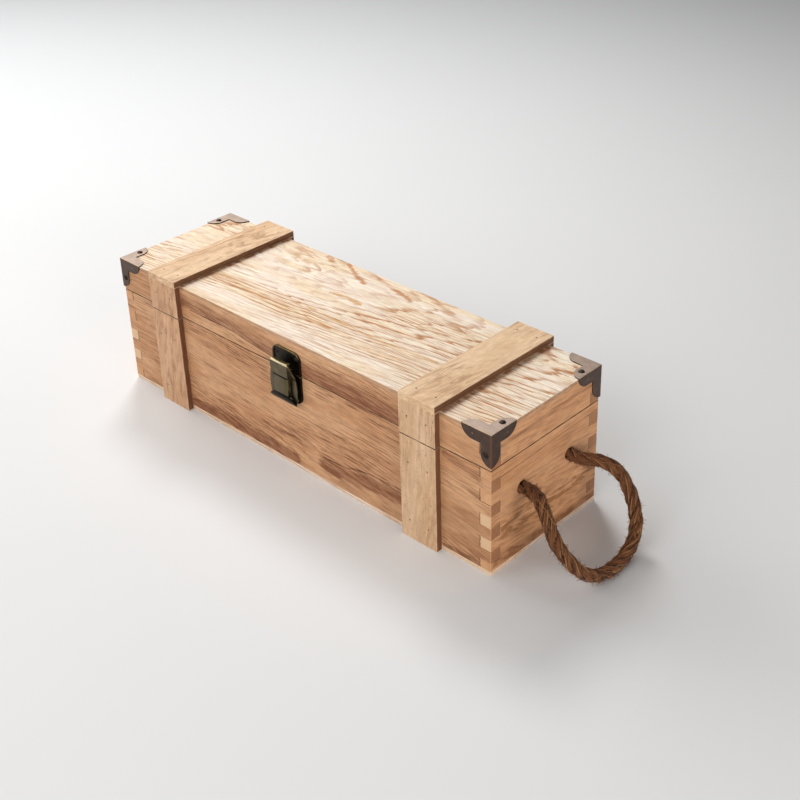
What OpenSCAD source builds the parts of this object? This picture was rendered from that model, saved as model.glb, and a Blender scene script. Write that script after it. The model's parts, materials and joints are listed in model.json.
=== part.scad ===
// Crate-style wine box: a finger-jointed case sawn into a box and a hinged lid,
// with crate battens, corner caps, a toggle latch, butt hinges and a rope handle.
// Millimetres. X runs along the box, -Y is the latch side, +Z is up.
// The origin is the centre of the underside, on the surface that the box stands on.

/* [Case] */
// Length of the case over its end panels
box_l = 360; // [320:1:420]
// Width of the case over its front and back panels
box_w = 105; // [95:1:130]
// Thickness of the front, back and end panels
wall = 9; // [7:0.5:12]
// Thickness of the bottom board
base_t = 3; // [2:0.5:5]
// Thickness of the lid board
top_t = 3; // [2:0.5:5]
// Height of the panels below the parting line
body_wall_h = 74.4; // [70:0.2:95]
// Height of the rails above the parting line
lid_wall_h = 21.8; // [21:0.2:34]
// Saw gap between box and lid when closed
part_gap = 0.3; // [0.2:0.05:0.8]

/* [Finger joints] */
// Height of one finger
finger_pitch = 8.65; // [6:0.05:12]
// Height of the lowest finger of the box
first_finger = 6.6; // [4:0.1:12]

/* [Battens] */
// Width of a batten
batten_w = 30; // [26:1:40]
// Thickness of a batten
batten_t = 4.8; // [4.6:0.1:7]
// Distance from the end of the case to the near edge of a batten
batten_inset = 40; // [30:1:60]

/* [Brads] */
// Diameter of a headless brad
brad_d = 1.2; // [0.8:0.1:1.6]
// Length of a brad
brad_len = 12; // [9:0.5:13]
// Distance from a batten's centre line to its brads
brad_side = 8; // [5:0.5:10]
// Height of the lower row of brads
brad_low = 14; // [8:1:20]
// Height of the upper row of brads of the box
brad_high = 58; // [40:1:60]
// Height of the lid's brads above the parting line
brad_lid = 14.6; // [13.5:0.1:16]

/* [Corner caps] */
// Length of a cap's arm from the corner
cap_arm = 22.5; // [20:0.5:26]
// Width of a cap's arm
cap_w = 7.7; // [7:0.1:10]
// Length of an arm before its end starts to curve
cap_straight = 14; // [12:0.5:16]
// Sheet thickness of a cap
cap_t = 0.8; // [0.6:0.1:1.2]
// Distance of a cap screw from the corner along its arm
cap_screw_along = 14.5; // [12:0.5:16]
// Distance of a cap screw from the edge
cap_screw_in = 3.6; // [3.2:0.1:4]

/* [Screws] */
// Diameter of a screw shank
shank_d = 1.8; // [1.4:0.1:2.2]
// Length of a cap screw under its head
cap_screw_len = 7; // [5:0.5:8]
// Diameter of a domed screw head
dome_d = 4.4; // [3.6:0.1:5]
// Height of a domed screw head
dome_h = 1.2; // [0.8:0.1:1.5]

/* [Hinges] */
// Length of a hinge along its pin
hinge_l = 25; // [20:1:26]
// Height of one leaf from the pin's centre
leaf_h = 13; // [11:0.5:15]
// Thickness of a leaf
leaf_t = 1; // [0.8:0.1:1.2]
// Outer radius of the knuckles
knuckle_r = 1.7; // [1.5:0.1:2]
// Gap between the knuckles and the wood
knuckle_gap = 0.2; // [0.15:0.05:0.4]
// Radius of the hinge pin
hinge_pin_r = 0.8; // [0.6:0.05:0.9]
// Length of a hinge screw
hinge_screw_len = 4.4; // [3.5:0.1:4.4]
// Distance of the hinge screws from the hinge's centre along the pin
hinge_screw_side = 7; // [5:0.5:9]
// Distance of the hinge screws from the pin
hinge_screw_out = 8; // [7:0.5:9]

/* [Latch] */
// Distance of the latch from the middle of the front, towards the rope handle
latch_x = 3.5; // [-5:0.5:5]
// Width of both latch plates
latch_w = 26.6; // [26.2:0.2:30]
// Height of the base plate, below the parting line
latch_base_h = 21.6; // [21.6:0.2:26]
// Height of the keeper plate, above the parting line
keeper_h = 16.4; // [16:0.2:18.6]
// Sheet thickness of the two plates
plate_t = 1; // [0.8:0.1:1.2]
// Corner radius of the plates
plate_r = 5.5; // [4:0.5:7]
// Thickness of the lever and loop sheet
sheet_t = 0.8; // [0.6:0.1:0.9]
// Half width of the lever's front sheet
lever_half_w = 6.6; // [6.4:0.1:7]
// Half width of the flared flanks of the lever and the loop
flank_half_w = 13.2; // [12.5:0.1:13.6]
// Width of the raised rim round the two plates
rim_w = 1.6; // [1.2:0.1:1.8]
// Height of the raised rim over the wood
rim_h = 1.7; // [1.3:0.1:1.9]
// Height of the loop's front plate
loop_h = 10.1; // [9.9:0.1:10.6]
// Half width of the keeper's tongue
tongue_half_w = 4.4; // [3:0.1:5]
// Radius of the latch's rivets
rivet_r = 0.6; // [0.5:0.05:0.7]
// Diameter of a latch nail's head
nail_head_d = 3; // [2.4:0.1:3.4]
// Height of a latch nail's head
nail_head_h = 0.7; // [0.4:0.1:0.9]
// Length of the latch nails under their heads
nail_len = 6; // [4:0.5:8]

/* [Rope handle] */
// Diameter of the rope
rope_d = 8; // [6:0.5:9]
// Distance between the two rope holes
rope_span = 47; // [40:1:52]
// Height of the rope holes
rope_z = 51.5; // [48:0.5:58]
// Clearance round the rope in its holes
rope_gap = 0.5; // [0.3:0.1:1]
// Radius of the stopper knots
knot_r = 10.5; // [9:0.5:11]
// Height of the rope holes over the lowest point of the handle's centre line
rope_drop = 47; // [45:0.5:47.4]

/* [Hidden] */
$fn = 48;
z_part = base_t + body_wall_h;        // top edge of the box
z_lid = z_part + part_gap;            // lower edge of the lid
z_rails = z_lid + lid_wall_h;         // underside of the lid board
z_top = z_rails + top_t;              // top of the lid board
batten_x = box_l/2 - batten_inset - batten_w/2;
run_gap = 0.05;                       // radial clearance of a turning pin
fix_gap = 0.01;                       // radial clearance of a fixed pin
slide_gap = 0.2;                      // side clearance between turning sheets
brad_rows = [brad_low, brad_high];

// Hinge pin, seen along X
hinge_y = box_w/2 + batten_t + knuckle_r + knuckle_gap;
hinge_z = z_part + part_gap/2;
knuckle_l = (hinge_l - 2*slide_gap)/3;
pin_head_t = 0.5;
pin_head_over = 0.4;                  // how far the pin's heads stand out round it

// Latch, seen from the side: [outwards from the wood, up from the parting line]
lever_pin = [5.3, -2];
loop_pin = [3.9, -5.9];
lever_front = 7.9;                    // outer face of the lever's front sheet
lever_bottom = -13.9;                 // where the front sheet turns into the lip
lever_top = -0.9;
lip_bend_r = 12;
lip_sweep = 50;
lip_corner_r = 6;
lip_flare = 5;                        // height over which the lip widens
ear_r = 1.6;
ear_web_top = 0.8;                    // top of an ear's web, over the lever's pin
loop_front = 8.2;                     // outer face of the loop's front plate
loop_bottom = -0.2;
fold_depth = 3.2;                     // how far the loop's top folds back over the tongue
dish_r = 60;                          // hollow of the loop's top edge
dish_shoulder = 0.7;                  // height of the shoulders beside the hollow
arm_r = 1.3;
arm_arc_r = 30;
arm_mid = [5.5, -3];
arm_half_w = 2.3;
ear_x = lever_half_w - 2*sheet_t - slide_gap*2;
arm_x = lever_half_w + slide_gap*2;
loop_half_w = arm_x + sheet_t;
tongue_t = 0.9;
tongue_r = 2.9;
tongue_front = 6.8;
tongue_tip = 8.85;
tongue_rise = 2;                      // straight length at the tongue's tip
nail_side = 9.3;
nail_keeper_up = 12.2;
nail_base_down = 17.8;
rivet_head_t = 0.4;
rivet_head_over = 0.3;                // how far a rivet's head stands out round it
flank_back = 4.5;                     // inner face of the flanks
flank_arc_r = 45;
flank_mid = -10;                      // height of the flanks' widest place
flank_in = loop_half_w + rivet_head_t + slide_gap;

// Rope: [out of the end panel, away from the other hole, up from the hole]
mouth = rope_d/2 + 0.5;               // swing line of the handle, off the end panel
rope_half = [
    [9, 0.5, 0], [15, 3, 0.5], [21, 7, -0.5], [27, 10.5, -4], [32, 12.5, -9.5],
    [36.5, 13, -16], [41, 12, -22.5], [45, 9.5, -29], [48.5, 5.5, -35],
    [51, 0, -40], [52.5, -7, -44], [53.5, -15, -46.5]
];
rope_far = rope_half[len(rope_half) - 1][0];
rope_sides = 10;
knot_seat = 0.7*knot_r;               // a knot's middle, off the inside of the end panel

// ---------------------------------------------------------------- finger joints

// Every second gap of a row of fingers from z0 to z1, starting with gap number first
module finger_gaps(z0, z1, low, first, depth) {
    count = ceil((z1 - z0 - low)/finger_pitch) + 1;
    for (i = [first : 2 : count - 1]) {
        from = i == 0 ? z0 : z0 + low + (i - 1)*finger_pitch;
        to = min(i == 0 ? z0 + low : from + finger_pitch, z1);
        if (to > from)
            translate([0, -depth/2, from]) cube([wall, depth, to - from]);
    }
}

// A long panel with finger gaps at both ends; its outer face is at y = 0
module long_panel(z0, z1, low, first) {
    difference() {
        translate([-box_l/2, 0, z0]) cube([box_l, wall, z1 - z0]);
        for (side = [0, 1]) mirror([side, 0, 0])
            translate([box_l/2 - wall, wall/2, 0])
                finger_gaps(z0, z1, low, first, wall);
    }
}

// An end panel with finger gaps at both edges; its outer face is at x = box_l/2
module end_panel(z0, z1, low, first) {
    difference() {
        translate([box_l/2 - wall, -box_w/2, z0]) cube([wall, box_w, z1 - z0]);
        for (side = [0, 1]) mirror([0, side, 0])
            translate([box_l/2 - wall, -box_w/2 + wall/2, 0])
                finger_gaps(z0, z1, low, first, wall);
    }
}

module place_front() translate([0, -box_w/2, 0]) children();
module place_back() mirror([0, 1, 0]) place_front() children();
module place_left() mirror([1, 0, 0]) children();

// ---------------------------------------------------------------- fasteners

// Headless brads along -Z from the origin
module brad(gap = 0) translate([0, 0, -brad_len]) cylinder(h = brad_len, d = brad_d + 2*gap);

// Brads of the front battens of the box, and their holes
module box_front_brads(gap = 0) {
    for (x = [-1, 1]) for (dx = [-1, 1]) for (z = brad_rows)
        translate([x*batten_x + dx*brad_side, -box_w/2 - batten_t, z])
            rotate([90, 0, 0]) brad(gap);
}

// Brads of the front battens of the lid, and their holes
module lid_front_brads(gap = 0) {
    for (x = [-1, 1]) for (dx = [-1, 1])
        translate([x*batten_x + dx*brad_side, -box_w/2 - batten_t, z_part + brad_lid])
            rotate([90, 0, 0]) brad(gap);
}

// Brads through the ends of the top battens into the rails, and their holes
module lid_top_brads(gap = 0) {
    for (x = [-1, 1]) for (dx = [-1, 1]) for (y = [-1, 1])
        translate([x*batten_x + dx*brad_side, y*(box_w - wall)/2, z_top + batten_t]) brad(gap);
}

module both_sides() for (side = [0, 1]) mirror([0, side, 0]) children();
module box_brad_set(gap = 0) both_sides() box_front_brads(gap);
module lid_brad_set(gap = 0) {
    both_sides() lid_front_brads(gap);
    lid_top_brads(gap);
}

// A domed screw along -Z, its head standing on z = 0
module dome_screw(shank_len, head_d, head_h) {
    ball_r = (head_d*head_d/4 + head_h*head_h)/(2*head_h);
    intersection() {
        translate([0, 0, head_h - ball_r]) sphere(r = ball_r);
        cylinder(h = head_h, d = head_d);
    }
    translate([0, 0, -shank_len]) cylinder(h = shank_len, d = shank_d);
}

module shank_hole(len) translate([0, 0, -len]) cylinder(h = len + cap_t + 1, d = shank_d + 2*fix_gap);

// Puts children at the two screws of each corner cap, with Z out of the cap
module at_cap_screws() {
    for (sx = [0, 1]) for (sy = [0, 1]) mirror([sx, 0, 0]) mirror([0, sy, 0]) {
        translate([box_l/2 - cap_screw_in, -box_w/2 + cap_screw_along, z_top + cap_t]) children();
        translate([box_l/2 - cap_screw_in, -box_w/2 - cap_t, z_top - cap_screw_along])
            rotate([90, 0, 0]) children();
    }
}

// ---------------------------------------------------------------- case of the box

module bottom_board() color("burlywood")
    translate([-box_l/2, -box_w/2, 0]) cube([box_l, box_w, base_t]);

module front_panel() color("burlywood") difference() {
    place_front() long_panel(base_t, z_part, first_finger, 0);
    box_brad_set(fix_gap);
    at_base_nails() shank_hole(nail_len);
}

module back_panel() color("burlywood") difference() {
    place_back() long_panel(base_t, z_part, first_finger, 0);
    box_brad_set(fix_gap);
}

module left_end_panel() color("tan")
    place_left() end_panel(base_t, z_part, first_finger, 1);

module right_end_panel() color("tan") difference() {
    end_panel(base_t, z_part, first_finger, 1);
    for (y = [-1, 1]) translate([box_l/2 - wall - 1, y*rope_span/2, rope_z])
        rotate([0, 90, 0]) cylinder(h = wall + 2, d = rope_d + 2*rope_gap);
}

// ---------------------------------------------------------------- lid

module lid_front_rail() color("burlywood") difference() {
    place_front() long_panel(z_lid, z_rails, finger_pitch, 1);
    lid_brad_set(fix_gap);
    at_cap_screws() shank_hole(cap_screw_len);
    at_keeper_nails() shank_hole(nail_len);
}

module lid_back_rail() color("burlywood") difference() {
    place_back() long_panel(z_lid, z_rails, finger_pitch, 1);
    lid_brad_set(fix_gap);
    at_cap_screws() shank_hole(cap_screw_len);
}

module lid_left_rail() color("tan") difference() {
    place_left() end_panel(z_lid, z_rails, finger_pitch, 0);
    at_cap_screws() shank_hole(cap_screw_len);
}

module lid_right_rail() color("tan") difference() {
    end_panel(z_lid, z_rails, finger_pitch, 0);
    at_cap_screws() shank_hole(cap_screw_len);
}

module lid_board() color("wheat") difference() {
    translate([-box_l/2, -box_w/2, z_rails]) cube([box_l, box_w, top_t]);
    lid_brad_set(fix_gap);
    at_cap_screws() shank_hole(cap_screw_len);
}

// ---------------------------------------------------------------- battens

// An upright batten on the front, at the given side
module front_batten(side, z0, z1)
    translate([side*batten_x - batten_w/2, -box_w/2 - batten_t, z0])
        cube([batten_w, batten_t, z1 - z0]);

module box_front_batten(side) color("peru") difference() {
    front_batten(side, 0, z_part);
    box_brad_set(fix_gap);
}

module box_back_batten(side) color("peru") difference() {
    mirror([0, 1, 0]) front_batten(side, 0, z_part);
    box_brad_set(fix_gap);
    at_hinge_screws(0) shank_hole(hinge_screw_len);
}

module lid_front_batten(side) color("peru") difference() {
    front_batten(side, z_lid, z_top);
    lid_brad_set(fix_gap);
}

module lid_back_batten(side) color("peru") difference() {
    mirror([0, 1, 0]) front_batten(side, z_lid, z_top);
    lid_brad_set(fix_gap);
    at_hinge_screws(1) shank_hole(hinge_screw_len);
}

module lid_top_batten(side) color("burlywood") difference() {
    translate([side*batten_x - batten_w/2, -box_w/2 - batten_t, z_top])
        cube([batten_w, box_w + 2*batten_t, batten_t]);
    lid_brad_set(fix_gap);
}

module box_brads() color("dimgray") box_brad_set();
module lid_brads() color("dimgray") lid_brad_set();

// ---------------------------------------------------------------- corner caps

// One arm of a cap lying on a face: along +X from the corner, its end a curved point
module cap_arm_outline() {
    run = cap_arm - cap_straight;
    arc_r = (run*run + cap_w*cap_w)/(2*cap_w);
    translate([-cap_t, -cap_t]) square([cap_straight + cap_t, cap_w + cap_t]);
    translate([cap_straight, -cap_t]) intersection() {
        translate([0, cap_w - arc_r + cap_t]) circle(r = arc_r);
        square([arc_r, cap_w + cap_t]);
    }
}

// One face of a cap: two arms at right angles, one sheet thick
module cap_face() linear_extrude(cap_t) {
    cap_arm_outline();
    mirror([1, -1]) cap_arm_outline();
}

// A cap in the corner where X, Y and Z run into the lid
module cap_sheet() {
    translate([0, 0, -cap_t]) cap_face();
    rotate([90, 0, 0]) cap_face();
    rotate([0, -90, 0]) cap_face();
}

module corner_cap(sx, sy) color("saddlebrown") difference() {
    mirror([sx, 0, 0]) mirror([0, sy, 0])
        translate([-box_l/2, -box_w/2, z_top]) mirror([0, 0, 1]) cap_sheet();
    at_cap_screws() shank_hole(cap_screw_len);
}

module corner_cap_screws() color("sienna")
    at_cap_screws() dome_screw(cap_screw_len, dome_d, dome_h);

// ---------------------------------------------------------------- hinges

module at_hinge_pin(side) translate([side*batten_x, hinge_y, hinge_z]) children();

// Puts children at the screws of both hinges, on the box (0) or the lid (1)
module at_hinge_screws(on_lid) {
    for (side = [-1, 1]) for (dx = [-1, 1])
        translate([side*batten_x + dx*hinge_screw_side, box_w/2 + batten_t + leaf_t,
                   hinge_z + (on_lid*2 - 1)*hinge_screw_out])
            rotate([-90, 0, 0]) children();
}

module countersunk_screw(gap = 0) {
    translate([0, 0, -leaf_t]) cylinder(h = leaf_t, d1 = shank_d + 2*gap, d2 = shank_d + 2*leaf_t + 2*gap);
    translate([0, 0, -hinge_screw_len]) cylinder(h = hinge_screw_len - leaf_t, d = shank_d + 2*gap);
}

// Tube along X, from x0 to x1
module bar(x0, x1, r) translate([x0, 0, 0]) rotate([0, 90, 0]) cylinder(h = x1 - x0, r = r);

// A leaf over z > 0 with its knuckles at the given x ranges, pin at the origin
module hinge_leaf(knuckles, bore_gap) {
    inner = -knuckle_r - knuckle_gap;
    difference() {
        union() {
            translate([-hinge_l/2, inner, 0]) cube([hinge_l, leaf_t, leaf_h]);
            for (k = knuckles) bar(k[0], k[1], knuckle_r);
        }
        for (k = knuckles) bar(k[0] - 1, k[1] + 1, hinge_pin_r + bore_gap);
        bar_gaps(knuckles);
    }
}

// Clears the leaf where the other leaf's knuckles turn
module bar_gaps(knuckles) {
    edges = len(knuckles) == 1
        ? [[-hinge_l/2 - 1, knuckles[0][0]], [knuckles[0][1], hinge_l/2 + 1]]
        : [[knuckles[0][1], knuckles[1][0]]];
    for (e = edges)
        translate([e[0], -knuckle_r - knuckle_gap - 1, -knuckle_r - slide_gap])
            cube([e[1] - e[0], 2*knuckle_r + 3, 2*(knuckle_r + slide_gap)]);
}

box_knuckles = [[-hinge_l/2, -hinge_l/2 + knuckle_l], [hinge_l/2 - knuckle_l, hinge_l/2]];
lid_knuckles = [[-knuckle_l/2, knuckle_l/2]];

module hinge_box_leaf(side) color("darkgoldenrod") difference() {
    at_hinge_pin(side) mirror([0, 0, 1]) hinge_leaf(box_knuckles, fix_gap);
    at_hinge_screws(0) countersunk_screw(fix_gap);
}

module hinge_lid_leaf(side) color("goldenrod") difference() {
    at_hinge_pin(side) hinge_leaf(lid_knuckles, run_gap);
    at_hinge_screws(1) countersunk_screw(fix_gap);
}

// A pin with a peened head at each end
module hinge_pin(side) color("darkgoldenrod") at_hinge_pin(side) {
    bar(-hinge_l/2, hinge_l/2, hinge_pin_r);
    for (e = [0, 1]) mirror([e, 0, 0]) bar(hinge_l/2, hinge_l/2 + pin_head_t, hinge_pin_r + pin_head_over);
}

module hinge_box_screws() color("sienna") at_hinge_screws(0) countersunk_screw();
module hinge_lid_screws() color("sienna") at_hinge_screws(1) countersunk_screw();

// ---------------------------------------------------------------- latch

// Extrudes an outline seen from the front, from u0 to u1 outwards from the wood
module from_front(u0, u1)
    translate([latch_x, -box_w/2 - u0, z_part]) rotate([90, 0, 0]) linear_extrude(u1 - u0) children();

// Extrudes a side profile across x0..x1 from the latch's middle, and on both sides of it
module across(x0, x1)
    translate([latch_x + x1, -box_w/2, z_part]) rotate([90, 0, -90])
        linear_extrude(x1 - x0) children();
module both_cheeks(x0, x1) {
    across(x0, x1) children();
    across(-x1, -x0) children();
}

// A plate outline above y = 0 with its two far corners rounded
module plate_outline(w, h, r) {
    translate([-w/2, 0]) square([w, h - r]);
    translate([-w/2 + r, 0]) square([w - 2*r, h]);
    for (x = [-1, 1]) translate([x*(w/2 - r), h - r]) circle(r = r);
}

module at_base_nails() for (x = [-1, 1])
    translate([latch_x + x*nail_side, -box_w/2 - plate_t, z_part - nail_base_down]) rotate([90, 0, 0]) children();
module at_keeper_nails() for (x = [-1, 1])
    translate([latch_x + x*nail_side, -box_w/2 - plate_t, z_part + nail_keeper_up]) rotate([90, 0, 0]) children();

// A plate with a raised rim round its rounded end, its straight end open
module rimmed_plate(h) {
    from_front(0, plate_t) plate_outline(latch_w, h, plate_r);
    from_front(0, rim_h) difference() {
        plate_outline(latch_w, h, plate_r);
        translate([0, -rim_w]) plate_outline(latch_w - 2*rim_w, h, plate_r - rim_w);
    }
}

module latch_base_plate() color("olive") difference() {
    union() {
        translate([0, 0, 2*z_part - part_gap]) mirror([0, 0, 1]) rimmed_plate(latch_base_h);
        both_cheeks(ear_x, ear_x + sheet_t) ear_outline();
    }
    both_cheeks(ear_x - 1, ear_x + sheet_t + 1) translate(lever_pin) circle(r = rivet_r + fix_gap);
    at_base_nails() shank_hole(nail_len);
}

module ear_outline() {
    translate(lever_pin) circle(r = ear_r);
    translate([plate_t/2, lever_pin[1] - ear_r])
        square([lever_pin[0] - plate_t/2, ear_r + ear_web_top]);
}

// Rivets fixed in the ears, that the lever turns on
module latch_lever_rivets() color("darkolivegreen") {
    both_cheeks(ear_x - rivet_head_t, ear_x)
        translate(lever_pin) circle(r = rivet_r + rivet_head_over);
    both_cheeks(ear_x, lever_half_w + slide_gap/2) translate(lever_pin) circle(r = rivet_r);
}

// Rivets fixed in the lever, that the loop turns on
module latch_loop_rivets() color("darkolivegreen") {
    inside = lever_half_w - sheet_t;
    both_cheeks(inside - slide_gap, inside)
        translate(loop_pin) circle(r = rivet_r + rivet_head_over);
    both_cheeks(inside, loop_half_w + slide_gap) translate(loop_pin) circle(r = rivet_r);
    both_cheeks(loop_half_w + slide_gap/2, loop_half_w + rivet_head_t)
        translate(loop_pin) circle(r = rivet_r + rivet_head_over);
}

// Front outline that the flanks share, between two heights
module flank_outline(low, high) intersection() {
    intersection_for(s = [-1, 1])
        translate([s*(flank_arc_r - flank_half_w), flank_mid]) circle(r = flank_arc_r, $fn = 144);
    translate([-flank_half_w, low]) square([2*flank_half_w, high - low]);
}

module latch_lever() color("darkkhaki") difference() {
    union() {
        // front sheet
        from_front(lever_front - sheet_t, lever_front)
            translate([-lever_half_w, lever_bottom]) square([2*lever_half_w, lever_top - lever_bottom]);
        // finger lip, a bent sheet that widens downwards
        intersection() {
            across(-flank_half_w, flank_half_w) lip_profile();
            from_front(0, lever_front + 1) lip_outline();
        }
        // flanks, joined to the lip at its lower edge and clear of the loop's arms
        intersection() {
            difference() {
                from_front(flank_back, flank_back + sheet_t) rounded_flanks();
                across(-flank_in, flank_in) translate([0, lip_end]) square(-lip_end);
            }
            across(-flank_half_w, flank_half_w) under_lip();
        }
        both_cheeks(lever_half_w - sheet_t, lever_half_w) lever_cheek();
    }
    both_cheeks(lever_half_w - sheet_t - 1, lever_half_w + 1)
        translate(lever_pin) circle(r = rivet_r + run_gap);
    both_cheeks(lever_half_w - sheet_t - 1, lever_half_w + 1)
        translate(loop_pin) circle(r = rivet_r + fix_gap);
}

lip_low = lever_bottom - lip_bend_r*sin(lip_sweep);
lip_end = lip_low + 2*sheet_t;        // the flanks close into one sheet below this height

// The lever's whole front outline, with its two lower corners rounded
module rounded_flanks() intersection() {
    flank_outline(lip_low, lever_top);
    translate([0, lever_top]) mirror([0, 1])
        plate_outline(2*flank_half_w, lever_top - lip_low, lip_corner_r);
}

module lip_profile() translate([lever_front - lip_bend_r, lever_bottom]) difference() {
    circle(r = lip_bend_r, $fn = 96);
    circle(r = lip_bend_r - sheet_t, $fn = 96);
    translate([-lip_bend_r - 1, 0]) square(2*lip_bend_r + 2);
    rotate(-lip_sweep) translate([-2*lip_bend_r, -2*lip_bend_r]) square([4*lip_bend_r, 2*lip_bend_r]);
}

// Side profile of all that lies behind the lip's outer face
module under_lip() {
    translate([0, lever_bottom]) square([lever_front, -lever_bottom]);
    translate([lever_front - lip_bend_r, lever_bottom]) circle(r = lip_bend_r, $fn = 96);
}

module lip_outline() intersection() {
    rounded_flanks();
    polygon([[-lever_half_w, lever_bottom], [-flank_half_w, lever_bottom - lip_flare],
             [-flank_half_w, lip_low], [flank_half_w, lip_low],
             [flank_half_w, lever_bottom - lip_flare], [lever_half_w, lever_bottom]]);
}

module lever_cheek() {
    clear = 0.1;                      // from the arm's round end to the cheek's inner edge
    polygon([
        [lever_front, lever_top], [lever_pin[0] - ear_r, lever_top],
        [loop_pin[0] - arm_r + clear, loop_pin[1] + arm_r],
        [loop_pin[0] - arm_r + clear, loop_pin[1] - arm_r],
        [lever_pin[0] - sheet_t/2, lever_bottom], [lever_front, lever_bottom]]);
}

module latch_loop() color("khaki") difference() {
    union() {
        intersection() {
            across(-loop_half_w, loop_half_w) {
                translate([loop_front - sheet_t, loop_bottom])
                    square([sheet_t, loop_h - loop_bottom + 1]);
                translate([loop_front - fold_depth, loop_h - sheet_t])
                    square([fold_depth, sheet_t + 1]);
            }
            from_front(0, loop_front + 1) loop_outline();
        }
        both_cheeks(arm_x, loop_half_w) loop_arm();
        intersection() {
            both_cheeks(arm_x, flank_half_w) sloping_flank();
            from_front(0, loop_front + 1) flank_outline(loop_bottom, loop_h - sheet_t);
        }
    }
    both_cheeks(arm_x - 1, loop_half_w + 1) translate(loop_pin) circle(r = rivet_r + run_gap);
}

// Front outline of the loop's plate, its top edge dished between two shoulders
module loop_outline() difference() {
    translate([-loop_half_w, loop_bottom])
        square([2*loop_half_w, loop_h - loop_bottom + dish_shoulder]);
    translate([0, loop_h + dish_r]) circle(r = dish_r, $fn = 96);
}

// Cheek of the loop: a slim leaf down to its rivet, and a wedge between plate and flank
module loop_arm() {
    intersection_for(s = [-1, 1])
        translate(arm_mid + [s*(arm_arc_r - arm_half_w), 0]) circle(r = arm_arc_r, $fn = 96);
    translate(loop_pin) circle(r = arm_r);
    polygon([[flank_back, loop_bottom], [loop_front, loop_bottom],
             [loop_front, loop_h - sheet_t], [loop_front - sheet_t, loop_h - sheet_t]]);
}

// Side profile of the loop's flanks: level with its front plate at the top, and sloping back
module sloping_flank() polygon([
    [flank_back, loop_bottom], [flank_back + sheet_t, loop_bottom],
    [loop_front, loop_h - sheet_t], [loop_front - sheet_t, loop_h - sheet_t]]);

module latch_keeper() color("olive") difference() {
    union() {
        translate([0, 0, 2*part_gap]) rimmed_plate(keeper_h);
        across(-tongue_half_w, tongue_half_w) tongue_profile();
    }
    at_keeper_nails() shank_hole(nail_len);
}

// The tongue leaves the plate, bends upwards and ends under the loop's fold
module tongue_profile() {
    bend = [tongue_front - tongue_r, tongue_tip - tongue_rise - tongue_r + tongue_t];
    translate([plate_t/2, bend[1] - tongue_r]) square([bend[0] - plate_t/2, tongue_t]);
    translate(bend) intersection() {
        difference() {
            circle(r = tongue_r);
            circle(r = tongue_r - tongue_t);
        }
        translate([0, -tongue_r]) square(tongue_r);
    }
    translate([tongue_front - tongue_t, bend[1]]) square([tongue_t, tongue_tip - bend[1]]);
}

module latch_nail() dome_screw(nail_len, nail_head_d, nail_head_h);
module latch_base_nails() color("sienna") at_base_nails() latch_nail();
module latch_keeper_nails() color("sienna") at_keeper_nails() latch_nail();

// ---------------------------------------------------------------- rope handle

function rope_point(p, side) =
    [box_l/2 + p[0], side*(rope_span/2 + p[1]), rope_z + p[2]];
rope_path = concat(
    [for (p = rope_half) rope_point(p, -1)],
    [rope_point([rope_far, -rope_span/2, -rope_drop], -1)],
    [for (i = [len(rope_half) - 1 : -1 : 0]) rope_point(rope_half[i], 1)]);

function unit(v) = v/norm(v);
function heading(path, i) =
    unit(path[min(i + 1, len(path) - 1)] - path[max(i - 1, 0)]);
function ring(centre, along, r, sides) = let (
    side = unit(cross(along, [0, 0, 1] + [0, 0.001, 0])), up = cross(side, along))
    [for (k = [0 : sides - 1]) centre + r*(cos(360*k/sides)*side + sin(360*k/sides)*up)];

// A closed tube along a path, square to X at both ends
module tube(path, r, sides) {
    last = len(path) - 1;
    rings = [for (i = [0 : last]) ring(path[i],
        i == 0 ? [1, 0, 0] : i == last ? [-1, 0, 0] : heading(path, i), r, sides)];
    faces = concat(
        [[for (k = [0 : sides - 1]) k]],
        [[for (k = [sides - 1 : -1 : 0]) last*sides + k]],
        [for (i = [0 : last - 1]) for (k = [0 : sides - 1]) let (n = (k + 1) % sides)
            [i*sides + k, (i + 1)*sides + k, (i + 1)*sides + n, i*sides + n]]);
    polyhedron(points = [for (row = rings) for (p = row) p], faces = faces);
}

module rope_handle() color("sienna") tube(rope_path, rope_d/2, rope_sides);

// The rope's two ends, from the knots through the holes to the swing line
module rope_ends() color("sienna") for (y = [-1, 1])
    translate([box_l/2 - wall, y*rope_span/2, rope_z]) rotate([0, 90, 0]) {
        cylinder(h = wall + mouth, d = rope_d);
        translate([0, 0, wall + mouth]) sphere(d = rope_d);
    }

// Stopper knots drawn up against the inside of the end panel
module rope_knots() color("saddlebrown") for (y = [-1, 1])
    translate([box_l/2 - wall, y*rope_span/2, rope_z]) rotate([0, -90, 0]) intersection() {
        translate([0, 0, knot_seat]) sphere(r = knot_r);
        cylinder(h = 3*knot_r, r = knot_r);
    }

// ---------------------------------------------------------------- assembly

bottom_board();
front_panel();
back_panel();
left_end_panel();
right_end_panel();
lid_front_rail();
lid_back_rail();
lid_left_rail();
lid_right_rail();
lid_board();
box_front_batten(-1);  // box_front_batten_left
box_front_batten(1);  // box_front_batten_right
box_back_batten(-1);  // box_back_batten_left
box_back_batten(1);  // box_back_batten_right
lid_front_batten(-1);  // lid_front_batten_left
lid_front_batten(1);  // lid_front_batten_right
lid_back_batten(-1);  // lid_back_batten_left
lid_back_batten(1);  // lid_back_batten_right
lid_top_batten(-1);  // lid_top_batten_left
lid_top_batten(1);  // lid_top_batten_right
box_brads();
lid_brads();
corner_cap(0, 0);  // corner_cap_front_left
corner_cap(1, 0);  // corner_cap_front_right
corner_cap(0, 1);  // corner_cap_back_left
corner_cap(1, 1);  // corner_cap_back_right
corner_cap_screws();
hinge_box_leaf(-1);  // hinge_box_leaf_left
hinge_box_leaf(1);  // hinge_box_leaf_right
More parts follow.
